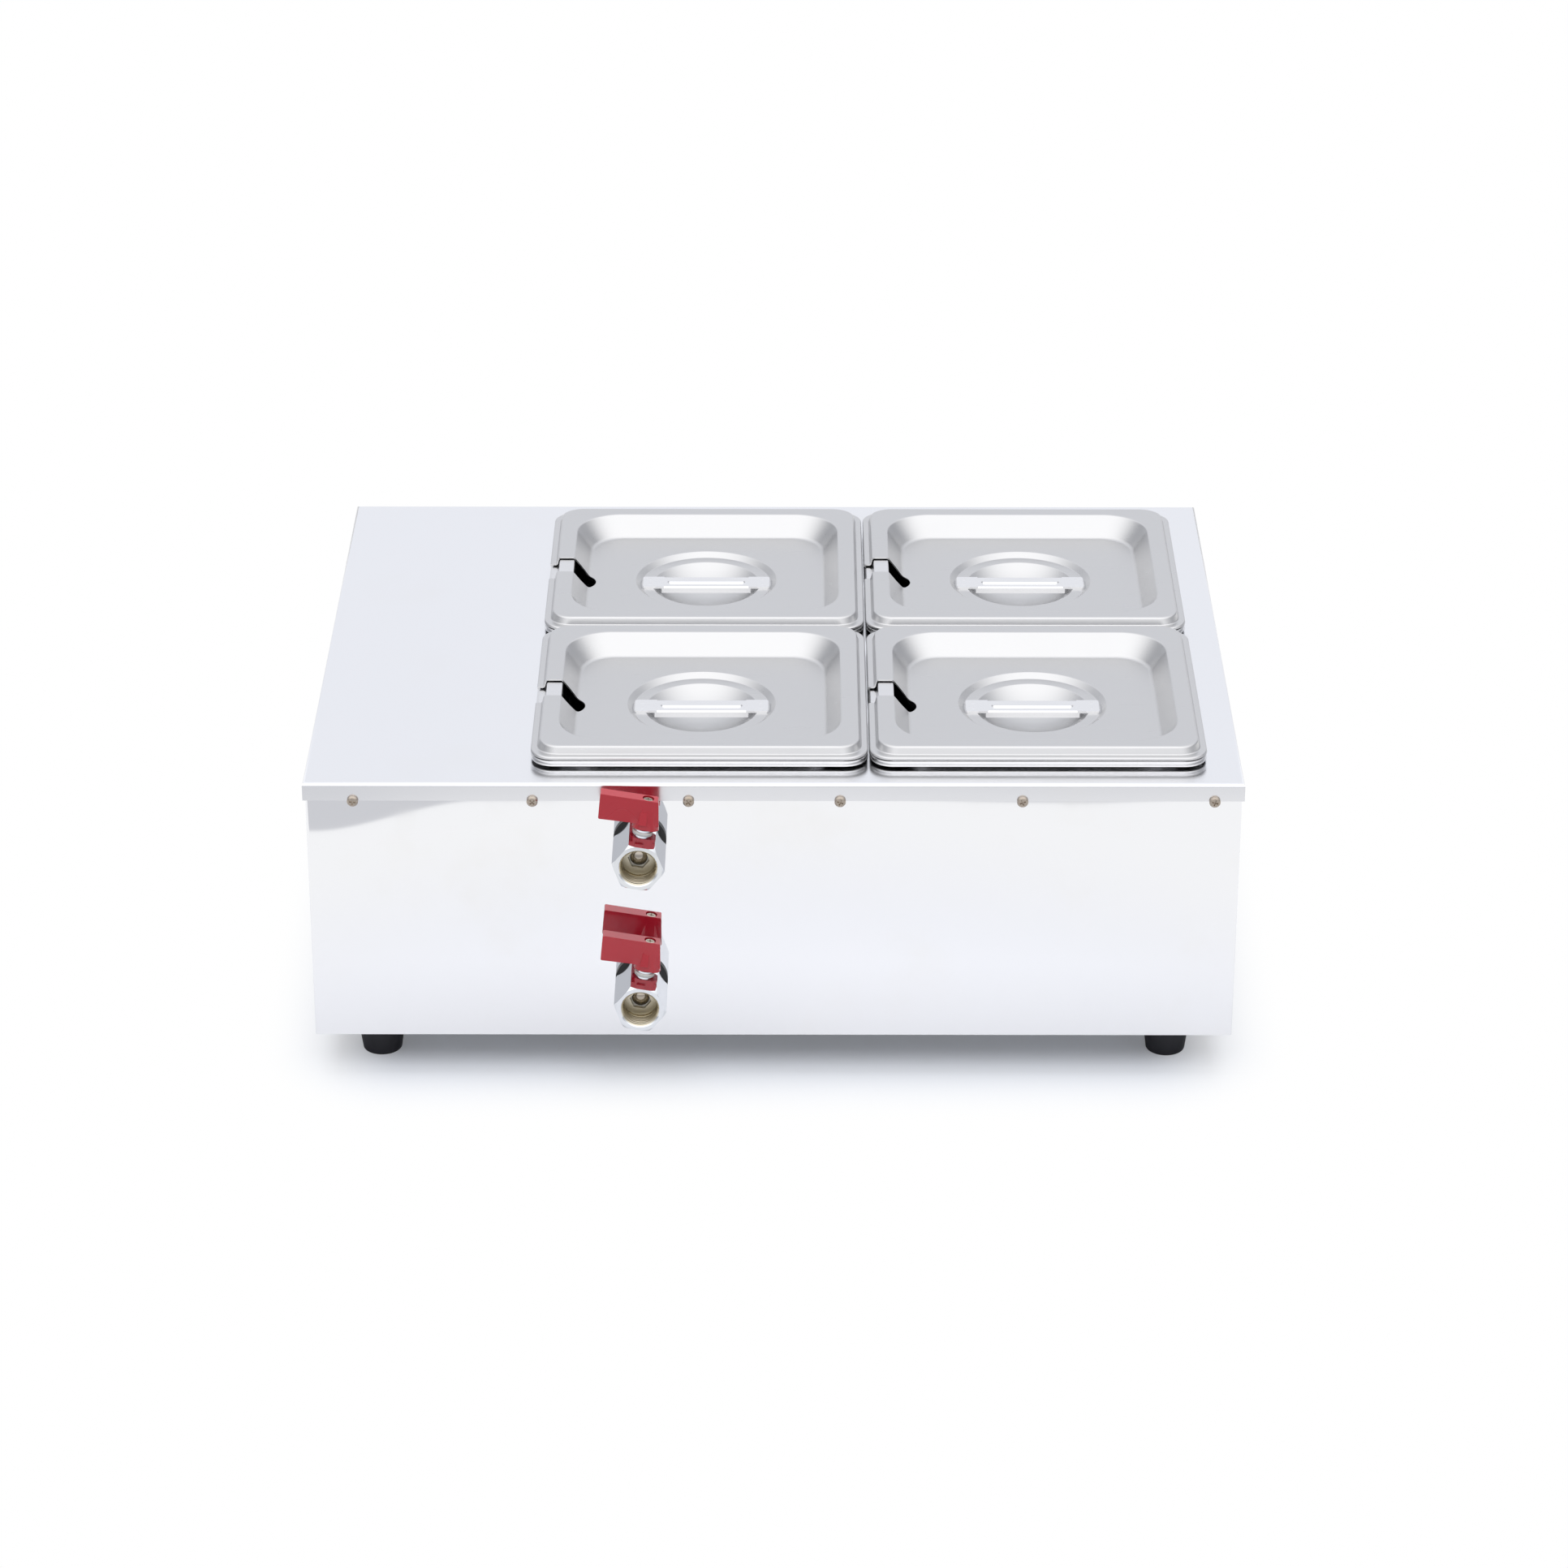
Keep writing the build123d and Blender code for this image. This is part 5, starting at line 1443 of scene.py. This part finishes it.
@dataclass
class Controls:
    """Thermostat knob and dial, pilot lamps, switch and mains inlet."""

    fine: tuple = (
        "thermostat_spindle",
        "lamp_bodies",
        "heating_lens",
        "power_lens",
        "switch_frame",
        "mains_inlet",
        "inlet_pins",
    )
    fine_edge: float = 0.12 * MM
    bold: tuple = ("thermostat_knob", "dial_plate", "switch_rocker")
    bold_edge: float = 0.2 * MM
    pointer_size: tuple = (1.6 * MM, 0.3 * MM, 11.0 * MM)
    pointer_edge: float = 0.08 * MM
    pointer_sink: float = 0.13 * MM
    pointer_drop: float = 9.0 * MM
    sweep: float = 270.0
    tens: int = 9
    ticks_in_ten: int = 3
    tick_ring: float = 22.6 * MM
    tick_lengths: tuple = (2.2 * MM, 1.2 * MM)
    tick_width: float = 0.35 * MM
    tick_height: float = 0.12 * MM
    number_ring: float = 25.3 * MM
    number_size: float = 2.1 * MM
    number_lift: float = 0.04 * MM
    rocker_facing: float = 0.85
    half_gap: float = 2.5 * MM
    line_size: tuple = (0.9 * MM, 5.0 * MM, 0.16 * MM)
    line_edge: float = 0.03 * MM
    ring_radii: tuple = (1.7 * MM, 2.5 * MM)
    ring_heights: tuple = (-0.05 * MM, 0.08 * MM)
    ring_steps: int = 40

    def build(self) -> None:
        """Dresses the controls and adds their marks."""
        for node in self.fine:
            dressed_node(node, self.fine_edge)
        for node in self.bold:
            dressed_node(node, self.bold_edge)
        self.pointer()
        self.ticks()
        self.numbers()
        self.switch_marks()

    def pointer(self) -> None:
        """Adds the white line on the knob's grip."""
        low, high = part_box("thermostat_knob")
        spot = Vector(((low.x + high.x) / 2, high.y - self.pointer_sink, high.z - self.pointer_drop))
        bm = bmesh.new()
        box_solid(bm, self.pointer_size, Matrix.Translation(spot), self.pointer_edge)
        place_piece("knob_pointer", bm, "knob", "marking_white")

    def dial_spot(self, share: float, ring: float, lift: float = 0.0) -> tuple:
        """Finds a place on the dial, which starts at the pointer's rest and runs clockwise.

        Args:
            share: Share of the knob's whole turn.
            ring: Distance from the dial's middle.
            lift: Height above the dial's face.

        Returns:
            The place, and the direction away from the middle.
        """
        low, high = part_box("dial_plate")
        turn = math.radians(self.sweep * share)
        way = Vector((-math.sin(turn), 0, math.cos(turn)))
        middle = Vector(((low.x + high.x) / 2, high.y + lift, (low.z + high.z) / 2))
        return middle + way * ring, way

    def ticks(self) -> None:
        """Adds the dial's ticks, with a long one at every ten."""
        bm = bmesh.new()
        outward = Vector((0, 1, 0))
        count = self.tens * self.ticks_in_ten
        long_tick, short_tick = self.tick_lengths
        for step in range(count + 1):
            spot, way = self.dial_spot(step / count, self.tick_ring)
            length = short_tick if step % self.ticks_in_ten else long_tick
            tick = (self.tick_width, length, self.tick_height)
            box_solid(bm, tick, upright(spot, outward, way.cross(outward)))
        place_piece("dial_ticks", bm, "housing", "marking_black")

    def numbers(self) -> None:
        """Adds the numbers beside the long ticks, in tens."""
        bm = bmesh.new()
        for ten in range(self.tens + 1):
            spot, _way = self.dial_spot(ten / self.tens, self.number_ring, self.number_lift)
            letters(bm, str(10 * ten), self.number_size, upright(spot, Vector((0, 1, 0)), Vector((-1, 0, 0))))
        place_piece("dial_numbers", bm, "housing", "marking_black")

    def switch_marks(self) -> None:
        """Adds the usual line and ring on the two halves of the rocker."""
        low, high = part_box("switch_rocker")
        middle = (low + high) / 2
        inner, outer = self.ring_radii
        bottom, top = self.ring_heights
        ring = [(inner, bottom), (outer, bottom), (outer, top), (inner, top), (inner, bottom)]
        polygons = NODES["switch_rocker"].data.polygons
        faces = [face for face in polygons if face.normal.y > self.rocker_facing]
        for name, side in (("line", 1), ("ring", -1)):
            half = [face for face in faces if (face.center.z - middle.z) * side > self.half_gap]
            area = sum(face.area for face in half)
            spot = sum((face.center * face.area for face in half), Vector()) / area
            normal = sum((face.normal * face.area for face in half), Vector()).normalized()
            frame_of = upright(spot, normal, Vector((-1, 0, 0)))
            bm = bmesh.new()
            if name == "line":
                box_solid(bm, self.line_size, frame_of, self.line_edge)
            else:
                turned(bm, ring, frame_of, self.ring_steps)
            body = BODY_OF["switch_rocker"]
            place_piece(f"rocker_{name}", bm, body, "marking_white")


@dataclass(frozen=True)
class Softbox:
    """Soft rectangular lamp that looks at a point."""

    name: str
    spot: tuple
    size: tuple
    watts: float
    aim: tuple

    def build(self) -> None:
        """Adds the lamp, which neither the camera nor the polished steel sees."""
        data = bpy.data.lights.new(self.name, "AREA")
        data.shape = "RECTANGLE"
        data.size, data.size_y = self.size
        data.energy = self.watts
        lamp = bpy.data.objects.new(self.name, data)
        lamp.location = self.spot
        lamp.rotation_euler = (Vector(self.aim) - Vector(self.spot)).to_track_quat("-Z", "Y").to_euler()
        lamp.visible_camera = False
        lamp.visible_glossy = False
        bpy.context.scene.collection.objects.link(lamp)


@dataclass
class Studio:
    """Floor, light and camera; the photograph's focal length and width are in its pixels."""

    photo_focal: float = 6213.0
    photo_width: float = 1932.0
    sensor: float = 36.0
    eye: tuple = (8.7 * MM, -2516.95 * MM, 1320.0 * MM)
    pitch: float = 0.4554
    yaw: float = 0.0014
    roll: float = -0.0005
    softboxes: tuple = (
        Softbox("front_softbox", (0.0, -1.7, 2.3), (2.6, 1.4), 26.0, (0.0, 0.0, 0.1)),
        Softbox("top_softbox", (0.0, 0.35, 2.3), (2.4, 2.0), 36.0, (0.0, 0.3, 0.0)),
    )

    def camera(self) -> None:
        """Places the camera where the photograph was taken from."""
        side = Vector((math.cos(self.yaw), math.sin(self.yaw), 0))
        ahead = Vector((-math.sin(self.yaw), math.cos(self.yaw), 0))
        up = ahead * math.sin(self.pitch) + Vector((0, 0, math.cos(self.pitch)))
        look = ahead * math.cos(self.pitch) - Vector((0, 0, math.sin(self.pitch)))
        right = side * math.cos(self.roll) - up * math.sin(self.roll)
        top = side * math.sin(self.roll) + up * math.cos(self.roll)
        data = bpy.data.cameras.new("photo_camera")
        data.lens = self.photo_focal / self.photo_width * self.sensor
        data.sensor_width = self.sensor
        data.clip_start = 0.05
        data.clip_end = 100.0
        camera = bpy.data.objects.new("photo_camera", data)
        turn = Matrix((right, top, -look)).transposed().to_4x4()
        camera.matrix_world = Matrix.Translation(self.eye) @ turn
        bpy.context.scene.collection.objects.link(camera)
        bpy.context.scene.camera = camera

    def build(self) -> None:
        """Builds the whole studio."""
        self.camera()
        PaperFloor().build()
        PaleRoom().build()
        for softbox in self.softboxes:
            softbox.build()
        bpy.context.scene.view_settings.view_transform = "Standard"


@dataclass
class PaperFloor:
    """Pale floor, which is plain white away from the object and keeps its shadow.

    Polished steel mirrors a white floor past mirror_from, and a greyer one past the front line.
    """

    size: float = 12.0
    lighting: tuple = (0.86, 0.865, 0.885)
    # Paper colour that only the camera sees; it is bluish so that it paints a cool tint into the object's
    # shadow
    seen: tuple = (0.82, 0.88, 1.0)
    shadow_half: tuple = (0.194, 0.139)
    shadow_reach: float = 0.085
    shadow_glow: float = 0.13
    mirror_half: tuple = (0.46, 0.42)
    mirror_shift: float = 0.02
    mirror_from: tuple = (0.72, 1.15)
    front_line: float = -0.511
    line_bend: tuple = (-0.275, -0.174)
    line_rise: float = 0.052
    line_blur: float = 0.004
    white: tuple = (1.0, 1.0, 1.0)
    grey: tuple = (0.66, 0.665, 0.69)

    def build(self) -> None:
        """Adds the floor and its material."""
        bm = bmesh.new()
        bmesh.ops.create_grid(bm, x_segments=1, y_segments=1, size=self.size)
        floor = linked("floor", bm)
        floor.data.materials.append(self.material())

    def material(self) -> bpy.types.Material:
        """Mixes lit paper with an even glow.

        Returns:
            The finished material.
        """
        material = bpy.data.materials.new("floor_white")
        material.use_nodes = True
        graph = Graph(material.node_tree)
        material.node_tree.nodes.clear()
        rays = graph.add("LightPath").outputs
        split = graph.add("SeparateXYZ")
        graph.feed(split.inputs[0], graph.position())
        x_place = split.outputs["X"]
        y_place = split.outputs["Y"]
        paper = graph.add("BsdfDiffuse")
        graph.feed(paper.inputs["Color"], graph.blend(rays["Is Camera Ray"], self.lighting, self.seen))
        glow = graph.add("Emission")
        dim = graph.calc("MULTIPLY", self.past_line(graph, x_place, y_place), rays["Is Glossy Ray"])
        graph.feed(glow.inputs["Color"], graph.blend(dim, self.white, self.grey))
        mirrored = graph.calc("MAXIMUM", rays["Is Glossy Ray"], rays["Is Transmission Ray"])
        shine = graph.calc("MULTIPLY", self.mirror_share(graph, x_place, y_place), mirrored)
        seen = graph.calc("MULTIPLY", self.seen_share(graph, x_place, y_place), rays["Is Camera Ray"])
        mixed = graph.add("MixShader")
        graph.feed(mixed.inputs[0], graph.calc("MAXIMUM", shine, seen))
        graph.feed(mixed.inputs[1], paper.outputs[0])
        graph.feed(mixed.inputs[2], glow.outputs[0])
        out = graph.add("OutputMaterial")
        graph.feed(out.inputs["Surface"], mixed.outputs[0])
        return material

    def past_line(self, graph: Graph, x_place: object, y_place: object) -> bpy.types.NodeSocket:
        """Works out what lies in front of the line that the front panel mirrors.

        Args:
            graph: The material's graph.
            x_place: The place across.
            y_place: The place along.

        Returns:
            1 in front of the line, and 0 behind it.
        """
        rise = graph.remap(x_place, self.line_bend, (self.line_rise, 0.0), smooth=True)
        line = graph.calc("ADD", rise, self.front_line)
        return graph.remap(graph.calc("SUBTRACT", line, y_place), (0.0, self.line_blur), (0.0, 1.0))

    def mirror_share(self, graph: Graph, x_place: object, y_place: object) -> bpy.types.NodeSocket:
        """Works out how much the floor glows in a mirror.

        Args:
            graph: The material's graph.
            x_place: The place across.
            y_place: The place along.

        Returns:
            The share of glow, from 0 near the object to 1 away from it.
        """
        half_wide, half_deep = self.mirror_half
        wide = graph.calc("MULTIPLY", x_place, 1.0 / half_wide)
        deep = graph.calc("MULTIPLY", graph.calc("ADD", y_place, self.mirror_shift), 1.0 / half_deep)
        return graph.remap(graph.distance(wide, deep), self.mirror_from, (0.0, 1.0), smooth=True)

    def seen_share(self, graph: Graph, x_place: object, y_place: object) -> bpy.types.NodeSocket:
        """Works out how much the floor glows to the camera.

        Args:
            graph: The material's graph.
            x_place: The place across.
            y_place: The place along.

        Returns:
            The share of glow, which is small in the object's shadow and 1 away from it.
        """
        half_wide, half_deep = self.shadow_half
        past = graph.distance(graph.past(x_place, half_wide), graph.past(y_place, half_deep))
        return graph.remap(past, (0.0, self.shadow_reach), (self.shadow_glow, 1.0), smooth=True)


@dataclass
class PaleRoom:
    """Even pale world; in a mirror it is greyer to the sides and brighter overhead."""

    lighting: tuple = (0.36, 0.365, 0.38)
    seen: tuple = (1.0, 1.0, 1.0)
    ahead: tuple = (0.90, 0.915, 0.96)
    aside: tuple = (0.45, 0.46, 0.49)
    aside_from: tuple = (0.30, 0.85)
    overhead: tuple = (1.54, 1.54, 1.55)
    overhead_way: tuple = (0.0, -0.5, 0.866)
    overhead_from: tuple = (0.10, 0.98)

    def build(self) -> None:
        """Sets the scene's world."""
        world = bpy.data.worlds.new("studio")
        world.use_nodes = True
        bpy.context.scene.world = world
        graph = Graph(world.node_tree)
        back = world.node_tree.nodes["Background"]
        way = graph.add("TexCoord").outputs["Generated"]
        split = graph.add("SeparateXYZ")
        graph.feed(split.inputs[0], way)
        sideways = graph.calc("ABSOLUTE", split.outputs["X"])
        level = graph.blend(
            graph.remap(sideways, self.aside_from, (0.0, 1.0), smooth=True), self.ahead, self.aside
        )
        aim = graph.add("VectorMath", operation="DOT_PRODUCT")
        graph.feed(aim.inputs[0], way)
        aim.inputs[1].default_value = self.overhead_way
        above = graph.remap(aim.outputs["Value"], self.overhead_from, (0.0, 1.0), smooth=True)
        rays = graph.add("LightPath").outputs
        mirrored = graph.blend(above, level, self.overhead)
        tone = graph.blend(rays["Is Glossy Ray"], self.lighting, mirrored)
        graph.feed(back.inputs["Color"], graph.blend(rays["Is Camera Ray"], tone, self.seen))
        back.inputs["Strength"].default_value = 1.0


def main() -> None:
    """Builds the studio and every sub-assembly."""
    logging.basicConfig(level=logging.INFO, format="%(name)s %(message)s")
    Studio().build()
    Housing().build()
    Bath().build()
    for place in PLACES:
        PanPressing(place).build()
        NotchedLid(place).build()
        StrapHandle(place).build()
    for place in VALVES:
        BallValve(place).build()
    Controls().build()


if __name__ == "__main__":
    main()
